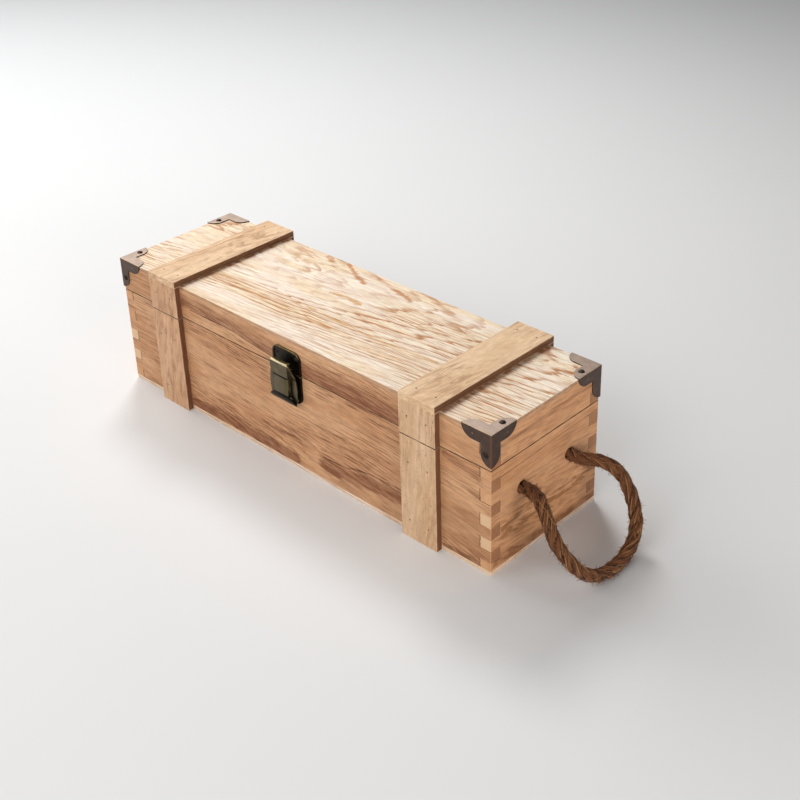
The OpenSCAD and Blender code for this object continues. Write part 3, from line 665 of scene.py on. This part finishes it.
def paint_marks(tree, colour, grain, axes, flat, marks, over):
    """A board's own marks, seen along two of its axes, and only above a height if one is given."""
    place = add(tree, "CombineXYZ", {0: axes[flat[0]], 1: axes[flat[1]]}).outputs[0]
    upper = calc(tree, "GREATER_THAN", axes["z"], over) if over else 1.0
    for rows, tint, how, streaky in marks:
        fray = remap(tree, grain["Line"], 0.40, 0.56, 1.2, 0.8 * (1 - streaky))
        mark = calc(tree, "MULTIPLY", draw_marks(tree, place, rows, *how), fray)
        colour = paint(tree, colour, mark, upper, tint)
    return colour

def paint_slit(tree, colour, grain, axes, slit, deep):
    """Dark slits at the roots of the fingers."""
    axis, reach, limit = slit
    run, other = (axes["x"], axes["y"]) if axis == "x" else (axes["y"], axes["x"])
    rough_rim = calc(tree, "MULTIPLY", grain["Mottle"], 1.8)
    past = calc(tree, "SUBTRACT", calc(tree, "ABSOLUTE", run), reach)
    near = remap(tree, calc(tree, "SUBTRACT", past, rough_rim), -0.2, 0.15, 1.0, 0.0)
    shown = calc(tree, "GREATER_THAN", calc(tree, "ABSOLUTE", other), limit)
    return paint(tree, colour, calc(tree, "MULTIPLY", near, shown), 0.85, scaled(deep, 0.55))

def paint_wear(tree, colour, grain, edge, height, pale, deep):
    """Paler rubbed edges, and the dark line of the saw cut."""
    rubbed = calc(tree, "MULTIPLY_ADD", grain["Mottle"], -0.9, edge)
    rubbed = remap(tree, rubbed, -0.35, 0.30, 0.35, 0.0)
    colour = mix(tree, rubbed, colour, srgb(*scaled(pale, 1.04)))
    off_cut = calc(tree, "ABSOLUTE", calc(tree, "SUBTRACT", height, parting))
    worn_cut = remap(tree, grain["Mottle"], 0.35, 0.6, 0.45, 0.95)
    return paint(tree, colour, remap(tree, off_cut, 0.3, 0.6, 1.0, 0.0), worn_cut, scaled(deep, 0.6))

print("wood painters are ready")

# %% [markdown]
# ## The wood finish
# One recipe makes every wood on the box, and the numbers tell them apart. Three more values come
# with each board, so that two boards of one wood can still differ: how red it is, how dark, and
# how pored.

# %% Wood finish
def make_wood(name, pale, warm, line, deep, *, pith, tilt, wander, line_length, line_gap, ring_gap,
              line_amount, stripe_amount, season_amount, ring_amount, brush_amount, pore_amount,
              pore_length=8.0, end_colour=None, pale_fingers=False, flat="xz", marks=(),
              marks_over=0.0, slit=None, sawn_and_shade_tint=(0.62, 0.43, 0.30, 1)):
    """pale, warm, line and deep are its colours, from the ground of the wood to its pores."""
    material, tree, shader = new_material(name)
    place = read(tree, "tree_place", "Vector")
    red, dark, pored = add(tree, "SeparateXYZ", {0: read(tree, "tone", "Vector")}).outputs
    end_grain, sawn = read(tree, "end_grain"), read(tree, "sawn")
    edge = use(tree, edge_group, {"From Middle": read(tree, "from_middle", "Vector"),
                                  "Half Size": read(tree, "half_size", "Vector")})[0]
    grain = use(tree, grain_group, {
        "Place": place, "Pith Across": pith[0], "Pith Depth": pith[1], "Tilt": tilt, "Wander": wander,
        "Line Length": line_length, "Line Gap": line_gap, "Pore Length": pore_length,
        "Ring Gap": ring_gap})
    axes = dict(zip("xyz", add(tree, "SeparateXYZ", {0: place_in_mm(tree)}).outputs))
    amounts = (season_amount, stripe_amount, ring_amount, brush_amount, line_amount)
    colour = paint_grain(tree, grain, pale, warm, line, amounts)
    if marks:
        colour = paint_marks(tree, colour, grain, axes, flat, marks, marks_over)
    pores = calc(tree, "MULTIPLY", grain["Pore"], calc(tree, "ADD", pored, pore_amount), clamp=True)
    colour = mix(tree, pores, colour, srgb(*deep))
    # Faces marked 'sawn' take a darker tint: sawn wood, and on the battens also painted shade where they
    # meet the box.
    for share, tint in ((red, (1.0, 0.72, 0.66, 1)), (dark, (0.30, 0.24, 0.21, 1)), (sawn, sawn_and_shade_tint)):
        colour = mix(tree, share, colour, mix(tree, 1.0, colour, tint, "MULTIPLY"))
    blotch = remap(tree, grain["Mottle"], 0.3, 0.7, 0.92, 1.07, "LINEAR")
    colour = mix(tree, 1.0, colour, grey(tree, blotch), "MULTIPLY")
    if end_colour:
        share = calc(tree, "MULTIPLY", end_grain, 0.75)
        if pale_fingers:
            off = calc(tree, "ABSOLUTE", calc(tree, "SUBTRACT", axes["z"], pale_fingers_at))
            share = calc(tree, "MULTIPLY", share, remap(tree, off, 14.5, 15.5, 1.1, 0.2))
        colour = mix(tree, share, colour, srgb(*end_colour))
    if slit:
        colour = paint_slit(tree, colour, grain, axes, slit, deep)
    colour = paint_wear(tree, colour, grain, edge, axes["z"], pale, deep)
    tree.links.new(colour, shader.inputs["Base Color"])

    rough = calc(tree, "MULTIPLY_ADD", grain["Line"], -0.20, 0.72)
    tree.links.new(rough, shader.inputs["Roughness"])
    relief = calc(tree, "MULTIPLY_ADD", grain["Line"], 0.9, calc(tree, "MULTIPLY", grain["Stripe"], 0.4))
    relief = calc(tree, "MULTIPLY_ADD", pores, -0.5, relief)
    tree.links.new(bump(tree, relief, 0.00022, 0.7), shader.inputs["Normal"])
    shader.inputs["Specular IOR Level"].default_value = 0.35
    return material

print("wood finish is ready")

# %% [markdown]
# ## The woods of the box
# The front is browner and banded, and the back is the same wood without the bands. The end panels
# are smoother, the lid board is pale with reddish rings, and the battens are short-grained.

# %% Wood materials
band_brown, line_brown = (140, 85, 54), (98, 54, 32)
front_marks = ((front_bands, band_brown, (0.7, 0.4), 0.15), (front_lines, line_brown, (0.6, 0.5), 0.3))
end_marks = ((end_streaks, (158, 104, 60), (0.6, 0.6), 1.0), (end_bands, (150, 98, 62), (0.6, 0.5), 0.3),
             (end_lines, (128, 80, 50), (0.5, 0.5), 0.2))
# The first of the lid's marks is painted shadow beside the top battens.
lid_marks = ((lid_batten_shadows, (158, 106, 72), (0.6, 0.8), 0.3),
             (lid_ochre, (212, 162, 100), (1.5, 0.5), 0.7),
             (lid_flames, (200, 140, 90), (1.7, 0.5), 0.6))
case_look = dict(pith=(-74, 34), tilt=0.08, wander=1.6, ring_amount=0.55, ring_gap=1.45,
                 line_amount=0.45, stripe_amount=0.12, brush_amount=0.85,
                 season_amount=0.5, pore_amount=0.05, line_length=20, line_gap=0.95,
                 end_colour=(158, 104, 68), slit=("y", 43.1, 179.6))
case_wood = make_wood("case_wood", (226, 176, 132), (210, 156, 112), (134, 84, 52), (110, 64, 40),
                      marks=front_marks, **case_look)
back_wood = make_wood("back_wood", (226, 176, 132), (210, 156, 112), (134, 84, 52), (110, 64, 40),
                      **case_look)
end_wood = make_wood("end_wood", (222, 167, 121), (212, 155, 108), (156, 100, 66), (118, 70, 46),
                     pith=(-64, 30), tilt=0.03, wander=1.6, line_amount=0.2, stripe_amount=0.1,
                     ring_amount=0.22, ring_gap=1.5, brush_amount=0.35,
                     season_amount=0.4, pore_amount=0.02, line_length=14, line_gap=0.95,
                     end_colour=(236, 200, 160), pale_fingers=True, flat="yz", marks=end_marks,
                     slit=("x", 170.8, 52.3))
board_wood = make_wood("board_wood", (253, 237, 218), (247, 224, 192), (190, 132, 84), (176, 112, 70),
                       pith=(42, 9), tilt=0.05, wander=1.3, line_amount=0.3, stripe_amount=0.12,
                       ring_amount=0.9, ring_gap=1.5, brush_amount=0.8,
                       season_amount=0.45, pore_amount=0.05, line_length=36, line_gap=0.85,
                       flat="xy", marks=lid_marks, marks_over=101.0)
# The battens' sides that face along the box are tinted much darker: partly darker sawn wood, partly painted
# shade of the corner where each batten meets the box.
batten_wood = make_wood("batten_wood", (238, 204, 165), (226, 188, 147), (160, 106, 70), (138, 88, 60),
                        pith=(30, 22), tilt=0.05, wander=1.5, line_amount=0.32, stripe_amount=0.08,
                        ring_amount=0.3, ring_gap=2.0, brush_amount=0.35,
                        season_amount=0.45, pore_amount=0.03, line_length=16, line_gap=0.9,
                        pore_length=2.6, sawn_and_shade_tint=(0.23, 0.15, 0.11, 1))
print("wood materials:", [m.name for m in bpy.data.materials if m.name.endswith("wood")])

# %% [markdown]
# ## Dressing a board
# A board's mesh is copied and its flat faces made whole again. Its long edges are rounded by a
# third of a millimetre, as sandpaper leaves them. The short edges at the brad holes stay sharp.
# Then the board is told where it sat in its tree.

# %% Boards
def whole_mesh(node):
    """A node's mesh with its doubled points merged and its flat faces whole."""
    bm = bmesh.new()
    bm.from_mesh(frame["nodes"][node].data)
    bmesh.ops.remove_doubles(bm, verts=bm.verts, dist=0.002 * mm)
    bmesh.ops.dissolve_limit(bm, angle_limit=math.radians(1), verts=bm.verts, edges=bm.edges)
    return bm

def soften(bm, width, shortest=0.0, keep=None):
    """Rounds the sharp edges; keep(edge) may leave some of them out."""
    edges = [e for e in bm.edges if e.is_manifold and e.calc_face_angle() > math.radians(30)
             and e.calc_length() > shortest and (keep is None or keep(e))]
    return bmesh.ops.bevel(bm, geom=edges, offset=width, offset_type="OFFSET", segments=2,
                           profile=0.5, affect="EDGES", clamp_overlap=False, material=-1,
                           miter_outer="SHARP", miter_inner="SHARP")

def stand_in(bm, node, material):
    """Makes the bmesh an object that stands for a node: same body, same place."""
    piece = finish_mesh(bm, node + "_finished", material, frame["nodes"][node]["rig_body"])
    shading = piece.modifiers.new("even shading", "WEIGHTED_NORMAL")
    shading.keep_sharp = True
    shading.weight = 90
    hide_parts(node)
    return piece

def write_layer(mesh, name, values, domain="POINT"):
    """Stores a number for each point or face of a mesh."""
    mesh.attributes.new(name, "FLOAT", domain).data.foreach_set("value", values)

def write_vectors(mesh, name, values):
    layer = mesh.attributes.new(name, "FLOAT_VECTOR", "POINT")
    layer.data.foreach_set("vector", [x for v in values for x in v])

def dress_board(node, grain, material, slot, tone=(0, 0, 0), seed=0, sawn=()):
    """grain: the axis that the grain runs along; sawn: the axes that its darker sides face, darker as sawn
    wood and, on the battens, also as painted shade.
    """
    bm = whole_mesh(node)
    soften(bm, 0.35 * mm, shortest=2.2 * mm)
    piece = stand_in(bm, node, material)
    mesh = piece.data
    low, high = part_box(node)
    middle, half = (low + high) / 2, (high - low) / 2
    deep = min(range(3), key=lambda k: half[k])
    across = 3 - grain - deep
    chance = random.Random(seed + 100)
    shift = Vector((chance.uniform(0.5, 4), chance.uniform(-0.003, 0.003), chance.uniform(-0.004, 0.004)))
    points = [v.co for v in mesh.vertices]
    write_vectors(mesh, "tree_place", [
        Vector((p[grain], p[across] - middle[across], p[deep] - middle[deep])) + shift
        for p in points])
    write_vectors(mesh, "from_middle", [p - middle for p in points])
    write_vectors(mesh, "half_size", [half] * len(points))
    write_vectors(mesh, "tone", [Vector(tone)] * len(points))
    write_layer(mesh, "end_grain", [abs(f.normal[grain]) ** 2 for f in mesh.polygons], "FACE")
    write_layer(mesh, "sawn", [float(any(abs(f.normal[k]) > 0.8 for k in sawn))
                               for f in mesh.polygons], "FACE")


X, Y, Z = 0, 1, 2
boards = [
    # node, grain, material, slot, (red, dark, pored), seed, the axes its darker sides face (sawn wood, and
    # painted shade on the battens)
    ("bottom_board", X, board_wood, "case_wood", (0.25, 0.06, 0.0), 1, ()),
    ("front_panel", X, case_wood, "case_wood", (0.0, 0.07, 0.0), 2, ()),
    ("back_panel", X, back_wood, "case_wood", (0.0, 0.0, 0.0), 3, ()),
    ("left_end_panel", Y, end_wood, "end_wood", (0.0, 0.0, 0.0), 4, ()),
    ("right_end_panel", Y, end_wood, "end_wood", (0.0, 0.0, 0.0), 5, ()),
    ("lid_front_rail", X, case_wood, "case_wood", (0.0, 0.07, 0.0), 2, ()),
    ("lid_back_rail", X, back_wood, "case_wood", (0.0, 0.0, 0.0), 3, ()),
    ("lid_left_rail", Y, end_wood, "end_wood", (0.0, 0.0, 0.0), 4, ()),
    ("lid_right_rail", Y, end_wood, "end_wood", (0.0, 0.0, 0.0), 5, ()),
    ("lid_board", X, board_wood, "board_wood", (0.0, 0.0, 0.0), 6, (X, Y)),
    ("box_front_batten_left", Z, batten_wood, "batten_wood", (0.36, 0.20, 0.1), 7, (X,)),
    ("box_front_batten_right", Z, batten_wood, "batten_wood", (0.10, 0.15, 0.5), 8, (X,)),
    ("box_back_batten_left", Z, batten_wood, "batten_wood", (0.2, 0.0, 0.2), 9, (X,)),
    ("box_back_batten_right", Z, batten_wood, "batten_wood", (0.1, 0.0, 0.1), 10, (X,)),
    ("lid_front_batten_left", Z, batten_wood, "batten_wood", (0.36, 0.20, 0.1), 7, (X,)),
    ("lid_front_batten_right", Z, batten_wood, "batten_wood", (0.10, 0.15, 0.5), 8, (X,)),
    ("lid_back_batten_left", Z, batten_wood, "batten_wood", (0.2, 0.0, 0.2), 9, (X,)),
    ("lid_back_batten_right", Z, batten_wood, "batten_wood", (0.1, 0.0, 0.1), 10, (X,)),
    ("lid_top_batten_left", Y, batten_wood, "batten_wood", (0.02, 0.0, 0.0), 11, (X,)),
    ("lid_top_batten_right", Y, batten_wood, "batten_wood", (0.0, 0.0, 0.0), 12, (X,)),
]
for board in boards:
    dress_board(*board)
print("boards dressed:", len(boards))

# %% [markdown]
# ## Antique bronze, steel and brass
# The corner caps, the screws, the latch and the hinges are brass with a dark brown skin. The skin
# is thin. It wears through on the edges that a hand rubs, where the bright metal shows. The faces
# that look up are painted lighter and greyer, partly as dust and partly as a painted reflection of
# the bright light above. A bevel marks its own faces, so that the finish knows where the edges are.

# %% Metal group and materials
def make_bronze_group():
    tree, given, out = new_group(
        "worn bronze",
        [("Skin", "Color", None), ("Dust And Sheen", "Color", None), ("Metal", "Color", None),
         ("Edge", "Float", 0.0), ("Wear", "Float", 0.5), ("Grain", "Float", 0.5),
         ("Only Up", "Float", 0.0)],
        [("Color", "Color"), ("Roughness", "Float"), ("Height", "Float")])
    spot = add(tree, "TexCoord").outputs
    place = spot["Object"]
    cloud = grain_noise(tree, stretched(tree, place, 6, 6, 6), 4.0, 0.6)
    speck = grain_noise(tree, stretched(tree, place, 0.7, 0.7, 0.7), 3.0, 0.6)
    scratch = grain_noise(tree, stretched(tree, place, 0.25, 5, 0.25), 2.0, 0.5)
    rub = calc(tree, "MULTIPLY_ADD", speck, 0.5, calc(tree, "MULTIPLY", cloud, 0.5))
    slope = add(tree, "SeparateXYZ", {0: spot["Normal"]}).outputs[2]
    sheltered = calc(tree, "MULTIPLY", remap(tree, slope, 0.15, 0.6, 1.0, 0.0), given["Only Up"])
    rim = calc(tree, "MULTIPLY", given["Edge"], calc(tree, "SUBTRACT", 1.0, sheltered))
    worn = remap(tree, calc(tree, "MULTIPLY", rim, rub), 0.30, 0.52)
    thin = calc(tree, "MULTIPLY", remap(tree, rub, 0.54, 0.70), 0.25)
    worn = calc(tree, "MULTIPLY", calc(tree, "MAXIMUM", worn, thin), given["Wear"], clamp=True)
    # Faces that look up are painted lighter and greyer: partly dust, partly a painted reflection of the
    # bright light above.
    up = remap(tree, slope, 0.55, 0.85)
    shade = remap(tree, cloud, 0.3, 0.7, 0.82, 1.15, "LINEAR")
    skin = mix(tree, up, given["Skin"], given["Dust And Sheen"])
    skin = mix(tree, 1.0, skin, grey(tree, shade), "MULTIPLY")
    tree.links.new(mix(tree, worn, skin, given["Metal"]), out["Color"])
    rough = calc(tree, "MULTIPLY_ADD", cloud, 0.20, 0.24)
    rough = calc(tree, "MULTIPLY_ADD", scratch, 0.12, rough)
    rough = calc(tree, "MULTIPLY_ADD", up, 0.12, rough)
    tree.links.new(calc(tree, "MULTIPLY_ADD", worn, -0.10, rough), out["Roughness"])
    relief = calc(tree, "MULTIPLY_ADD", speck, given["Grain"], calc(tree, "MULTIPLY", scratch, 0.3))
    tree.links.new(relief, out["Height"])
    return tree


bronze_group = make_bronze_group()
cap_pips = [(166.3, 53.3, 98.9), (180.8, 38.8, 98.9)]


def make_metal(name, skin, dust_and_sheen, metal, wear, rougher=0.0, metallic=1.0, cap=False, only_up=0.0,
               zones=()):
    """zones: ({axis: (from, to)}, colour, strength) of the parts painted a colour of their own; on the latch
    some are painted shade and a painted highlight.
    """
    material, tree, shader = new_material(name)
    edge = read(tree, "edge")
    place = add(tree, "VectorMath", {0: place_in_mm(tree)}, operation="ABSOLUTE").outputs[0]
    axes = dict(zip("xyz", add(tree, "SeparateXYZ", {0: place}).outputs))
    x, y, z = axes.values()
    if cap:                                    # brass shows only along the upper folds
        side = calc(tree, "MAXIMUM", remap(tree, x, 180.3, 180.5), remap(tree, y, 52.8, 53.0))
        edge = calc(tree, "MULTIPLY", calc(tree, "MULTIPLY", remap(tree, z, 102.85, 103.0), side), edge)
        edge = calc(tree, "MULTIPLY", edge, 1.25)
    made = use(tree, bronze_group, {"Skin": srgb(*skin), "Dust And Sheen": srgb(*dust_and_sheen), "Metal": srgb(*metal),
                                    "Edge": edge, "Wear": wear, "Only Up": only_up})
    colour, height = made["Color"], made["Height"]
    if cap:
        # Painted highlight: a reddish sheen along the rounded upright fold of the cap.
        fold = calc(tree, "MULTIPLY", remap(tree, x, 179.2, 180.7), remap(tree, y, 51.7, 53.2))
        fold = calc(tree, "MULTIPLY", fold, remap(tree, z, 102.6, 102.9, 1.0, 0.0))
        colour = mix(tree, calc(tree, "MULTIPLY", fold, 0.6), colour, srgb(132, 84, 60))
        for pip in cap_pips:
            dot = use(tree, mark_group, {
                "Place": place, "From": pip, "To": (pip[0], pip[1], pip[2] + 0.1),
                "Half Width": 0.6, "Softness": 0.4, "Fray": 0.0})[0]
            colour = mix(tree, calc(tree, "MULTIPLY", dot, 0.7), colour, srgb(138, 122, 104))
            height = calc(tree, "MULTIPLY_ADD", dot, 3.0, height)
    for limits, tint, strength in zones:
        inside = strength
        for axis, (low, high) in limits.items():
            value = axes[axis]
            inside = calc(tree, "MULTIPLY", inside, remap(tree, value, low - 0.2, low + 0.1))
            inside = calc(tree, "MULTIPLY", inside, remap(tree, value, high - 0.1, high + 0.2, 1, 0))
        colour = mix(tree, inside, colour, srgb(*tint))
    tree.links.new(colour, shader.inputs["Base Color"])
    tree.links.new(calc(tree, "ADD", made["Roughness"], rougher), shader.inputs["Roughness"])
    tree.links.new(bump(tree, height, 0.00005, 0.6), shader.inputs["Normal"])
    shader.inputs["Metallic"].default_value = metallic
    return material


# The caps' upward faces are painted much lighter than their sides, mostly as a painted reflection of the
# light above.
bronze_sheet = make_metal("bronze_sheet", (84, 66, 58), (172, 152, 138), (206, 172, 104),
                          wear=0.8, metallic=0.75, cap=True)
bronze_screw = make_metal("bronze_screw", (52, 42, 36), (66, 54, 46), (150, 124, 90), wear=0.5,
                          metallic=0.8)
hinge_bronze = make_metal("hinge_bronze", (96, 80, 62), (130, 112, 92), (206, 170, 108), wear=0.7,
                          metallic=0.85)
latch_bronze = make_metal("latch_bronze", (48, 41, 32), (122, 108, 80), (214, 200, 146), wear=0.85,
                          only_up=0.8)
# Painted colours on the latch: black painted shade in the crease between loop and lever and under the
# lever's finger lip, and a bright painted highlight on worn brass along the loop's dished top.
painted_shade_black, worn_brass_and_glint, olive = (12, 10, 8), (240, 228, 184), (92, 88, 48)
loop_zones = [({"z": (76.7, 77.5), "y": (59.5, 70)}, painted_shade_black, 0.9),
              ({"z": (86.6, 90), "y": (60.0, 70)}, worn_brass_and_glint, 0.9)]
lever_zones = [({"z": (76.0, 76.7), "y": (59.5, 70)}, painted_shade_black, 0.9),
               ({"z": (63.6, 75.8), "x": (7.6, 9.6), "y": (60, 70)}, olive, 0.7),
               ({"z": (50, 63.4), "y": (58.3, 70)}, painted_shade_black, 0.95)]
# The loop and the lever are the same bronze as the base plate and the keeper, but painted with a lighter
# skin: partly a painted reflection of the light on their flats.
loop_bronze = make_metal("loop_bronze", (104, 94, 74), (92, 80, 54), (236, 222, 170), wear=0.7,
                         only_up=0.9, zones=loop_zones)
lever_bronze = make_metal("lever_bronze", (104, 94, 74), (112, 100, 74), (190, 176, 130), wear=0.5,
                          only_up=0.9, zones=lever_zones)
steel_brad = make_metal("steel_brad", (92, 84, 78), (84, 74, 66), (150, 145, 140), wear=0.3,
                        rougher=0.15, metallic=0.7)
metals = (bronze_sheet, bronze_screw, hinge_bronze, latch_bronze, loop_bronze, lever_bronze, steel_brad)
print("metals:", [m.name for m in metals])

# %% [markdown]
# ## Dressing the metal parts
# Every metal part is a copy of its node with rounded edges, and the faces that the rounding makes
# are marked as edges, for the finish to wear. A cap is bent from thin sheet, so only the edges on
# its outer faces are rounded. The lever keeps its edges as they are, because its finger lip is a
# fine curve already, and rounding the short edges of that curve would crease it.

# %% Metal parts
def dress_metal(node, material, width, keep=None):
    """Rounds the edges by that many millimetres, or leaves them sharp where it is 0."""
    bm = whole_mesh(node)
    edge = bm.faces.layers.float.new("edge")
    made = soften(bm, width * mm, keep=keep) if width else {"faces": []}
    for face in made["faces"]:
        face[edge] = 1.0
    return stand_in(bm, node, material)


def on_cap_outside(edge):
    middle = (edge.verts[0].co + edge.verts[1].co) / 2
    return abs(middle.x) > 0.1804 or abs(middle.y) > 0.0529 or middle.z > 0.1029


for side in ("left", "right"):
    for end in ("front", "back"):
        dress_metal(f"corner_cap_{end}_{side}", bronze_sheet, 0.15, keep=on_cap_outside)
    dress_metal(f"hinge_box_leaf_{side}", hinge_bronze, 0.12)
    dress_metal(f"hinge_lid_leaf_{side}", hinge_bronze, 0.12)
    dress_metal(f"hinge_pin_{side}", hinge_bronze, 0.15)
for node in ("box_brads", "lid_brads"):
    dress_metal(node, steel_brad, 0.08)
for node in ("hinge_box_screws", "hinge_lid_screws", "corner_cap_screws"):
    dress_metal(node, bronze_screw, 0.08)
for node in ("latch_base_plate", "latch_keeper"):
    dress_metal(node, latch_bronze, 0.20)
dress_metal("latch_loop", loop_bronze, 0.15)
dress_metal("latch_lever", lever_bronze, 0)
for node in ("latch_lever_rivets", "latch_loop_rivets", "latch_base_nails", "latch_keeper_nails"):
    dress_metal(node, bronze_screw, 0.06)
print("metal parts dressed")

# %% [markdown]
# ## Jute
# The rope's colour runs along its strands, because each strand was rolled from a grid and kept the
# grid's map. Fine fibres lie along the strand, light ones over dark. The valleys between the strands
# are painted dark, as painted shade, and the outermost fibres are a little lighter.

# %% Rope material
def make_jute():
    material, tree, shader = new_material("jute_rope")
    flat = add(tree, "UVMap", uv_map="UVMap").outputs[0]
    place = add(tree, "TexCoord").outputs["Object"]
    out = read(tree, "outward")
    fibre_place = add(tree, "VectorMath", {0: flat, 1: (90.0, 26.0, 1.0)}, operation="MULTIPLY")
    fibre = grain_noise(tree, fibre_place.outputs[0], 4.0, 0.65)
    clump = grain_noise(tree, stretched(tree, place, 7, 7, 7), 3.0, 0.6)
    fine = grain_noise(tree, stretched(tree, place, 0.5, 0.5, 0.5), 3.0, 0.6)
    tone = read(tree, "fibre_tone")
    colour = mix(tree, remap(tree, fibre, 0.38, 0.60), srgb(64, 35, 19), srgb(146, 92, 56))
    colour = mix(tree, calc(tree, "MULTIPLY", remap(tree, clump, 0.45, 0.7), 0.6), colour,
                 srgb(112, 66, 34))
    colour = mix(tree, calc(tree, "MULTIPLY", remap(tree, fine, 0.55, 0.75), 0.35), colour,
                 srgb(186, 140, 94))
    colour = mix(tree, remap(tree, tone, 0.50, 1.0, 0.0, 0.9), colour, srgb(192, 140, 94))
    colour = mix(tree, remap(tree, tone, 0.45, 0.0, 0.0, 0.85), colour, srgb(56, 30, 16))
    # Painted shade: the valleys between the strands, close to the rope's centre line, are darkened.
    valley_shade = calc(tree, "MULTIPLY_ADD", calc(tree, "SUBTRACT", clump, 0.5), 2.6, out)
    colour = mix(tree, remap(tree, valley_shade, 2.3, 3.5, 0.75, 0.0), colour, srgb(50, 29, 16))
    colour = mix(tree, calc(tree, "MULTIPLY", remap(tree, out, 4.4, 5.2), 0.5), colour, srgb(150, 104, 66))
    tree.links.new(colour, shader.inputs["Base Color"])
    shader.inputs["Roughness"].default_value = 0.85
    shader.inputs["Specular IOR Level"].default_value = 0.2
    shader.inputs["Sheen Weight"].default_value = 0.1
    shader.inputs["Sheen Roughness"].default_value = 0.5
    relief = calc(tree, "MULTIPLY_ADD", fine, 0.4, fibre)
    tree.links.new(bump(tree, relief, 0.0005, 0.9), shader.inputs["Normal"])
    return material


jute_rope = make_jute()
print("rope material:", jute_rope.name)

# %% [markdown]
# ## Hanging the handle
# The rope's mesh becomes one piece that stands for the handle and for its ends in the holes. Each
# point learns how far it lies from the centre line, so that the finish can paint shade into the
# valleys between the strands.

# %% Rope
rope = finish_mesh(rope_mesh, "rope", jute_rope, "rope_handle")
rope.parent = None                             # the rope is taken off the handle's body
centre = KDTree(len(rope_line))
for i, point in enumerate(rope_line):
    centre.insert(point, i)
centre.balance()
write_layer(rope.data, "outward", [centre.find(v.co)[2] / mm for v in rope.data.vertices])
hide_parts("rope_handle", "rope_ends")
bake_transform(rope)
print("rope:", len(rope.data.polygons), "faces")

# %% [markdown]
# ## Stopper knots
# Inside the end panel each end of the rope is tied, or it would pull through its hole. The knot
# follows a trefoil, the simplest knot there is, and is laid from the same three strands.

# %% Knots
knot_r, knot_size = 10.5 * mm, 2.1 * mm
knot_mesh = bmesh.new()
for side in (-1, 1):
    centre = Vector((box_end - wall - 0.7 * knot_r, side * rope_span / 2, rope_z))
    ring = []
    for i in range(121):
        t = 2 * math.pi * i / 120
        ring.append(centre + knot_size * Vector((0.9 * math.sin(3 * t),
                                                 (2 + math.cos(3 * t)) * math.cos(2 * t),
                                                 (2 + math.cos(3 * t)) * math.sin(2 * t))))
    lay_strands(knot_mesh, evenly(ring, rope_step), 1.85 * mm, 1.95 * mm, 20 * mm)
knots = finish_mesh(knot_mesh, "knots", jute_rope, "box_body")
write_layer(knots.data, "outward", [3.8] * len(knots.data.vertices))
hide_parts("rope_knots")
print("knots:", len(knots.data.polygons), "faces")

# %% [markdown]
# ## Floor and light
# The box stands on a pale studio floor. The key lamp hangs high behind its left end, so the lid is
# bright and the box's shadow falls to the lower right. A wide lamp on the left and two at the front
# open up the front, and one that stands low on the right lights the end without the floor.

# %% Floor
def make_floor():
    material, tree, shader = new_material("studio_floor")
    place = add(tree, "TexCoord").outputs["Object"]
    cloud = grain_noise(tree, stretched(tree, place, 300, 300, 300), 2.0)
    colour = mix(tree, cloud, srgb(229, 229, 229), srgb(233, 233, 233))
    # Painted shade: the floor's colour darkens towards the back left, where it stands in for weaker light.
    away = add(tree, "VectorMath", {0: place, 1: (-0.75, 0.65, 0)}, operation="DOT_PRODUCT").outputs["Value"]
    colour = mix(tree, remap(tree, away, 0.15, 1.1), colour, srgb(214, 215, 216))
    tree.links.new(colour, shader.inputs["Base Color"])
    shader.inputs["Roughness"].default_value = 0.8
    shader.inputs["Specular IOR Level"].default_value = 0.2
    return material


floor_mesh = bmesh.new()
bmesh.ops.create_grid(floor_mesh, x_segments=1, y_segments=1, size=8)
mesh = bpy.data.meshes.new("floor")
floor_mesh.to_mesh(mesh)
floor_mesh.free()
floor = bpy.data.objects.new("floor", mesh)
mesh.materials.append(make_floor())
scene.collection.objects.link(floor)
print("floor is in place")

# %% [markdown]
# ## Lamps and sky
# Each lamp is a round soft disk that looks at the middle of the box. The sky gives hardly any
# light of its own.

# %% Lamps and sky
def soft_lamp(name, azimuth_x, azimuth_y, elevation, distance, size, energy, colour):
    """A round soft lamp that looks at the box from that direction."""
    flat = Vector((azimuth_x, azimuth_y, 0)).normalized() * math.cos(math.radians(elevation))
    towards = flat + Vector((0, 0, math.sin(math.radians(elevation))))
    lamp = bpy.data.objects.new(name, bpy.data.lights.new(name, "AREA"))
    lamp.data.shape = "DISK"
    lamp.data.size = size
    lamp.data.energy = energy
    lamp.data.color = colour
    lamp.location = box_middle + distance * towards
    lamp.rotation_mode = "QUATERNION"
    lamp.rotation_quaternion = (-towards).to_track_quat("-Z", "Y")
    scene.collection.objects.link(lamp)


lamps = [
    # name, direction over the floor, degrees up, distance, width, watts, colour
    ("key", -0.80, 0.60, 50, 1.5, 0.45, 10.2, (1.0, 0.99, 0.98)),
    ("left", -1.00, 0.00, 30, 1.6, 1.0, 12.0, (1.0, 1.0, 1.0)),
    ("front left", -0.50, -0.85, 42, 1.6, 1.0, 5.4, (1.0, 0.99, 0.98)),
    ("front", 0.30, -0.95, 34, 1.6, 1.0, 8.8, (1.0, 0.99, 0.98)),
    ("low right", 1.00, -0.25, 8, 1.6, 0.8, 10.6, (1.0, 0.98, 0.96)),
    ("overhead", 0.00, 0.05, 87, 1.6, 1.2, 1.6, (1.0, 1.0, 1.0)),
]
for lamp in lamps:
    soft_lamp(*lamp)

world = bpy.data.worlds.new("studio")
world.use_nodes = True
world.node_tree.nodes["Background"].inputs["Color"].default_value = (0.97, 0.98, 1.0, 1)
world.node_tree.nodes["Background"].inputs["Strength"].default_value = 0.02
scene.world = world
scene.view_settings.view_transform = "Standard"
print("lamps:", len(lamps))
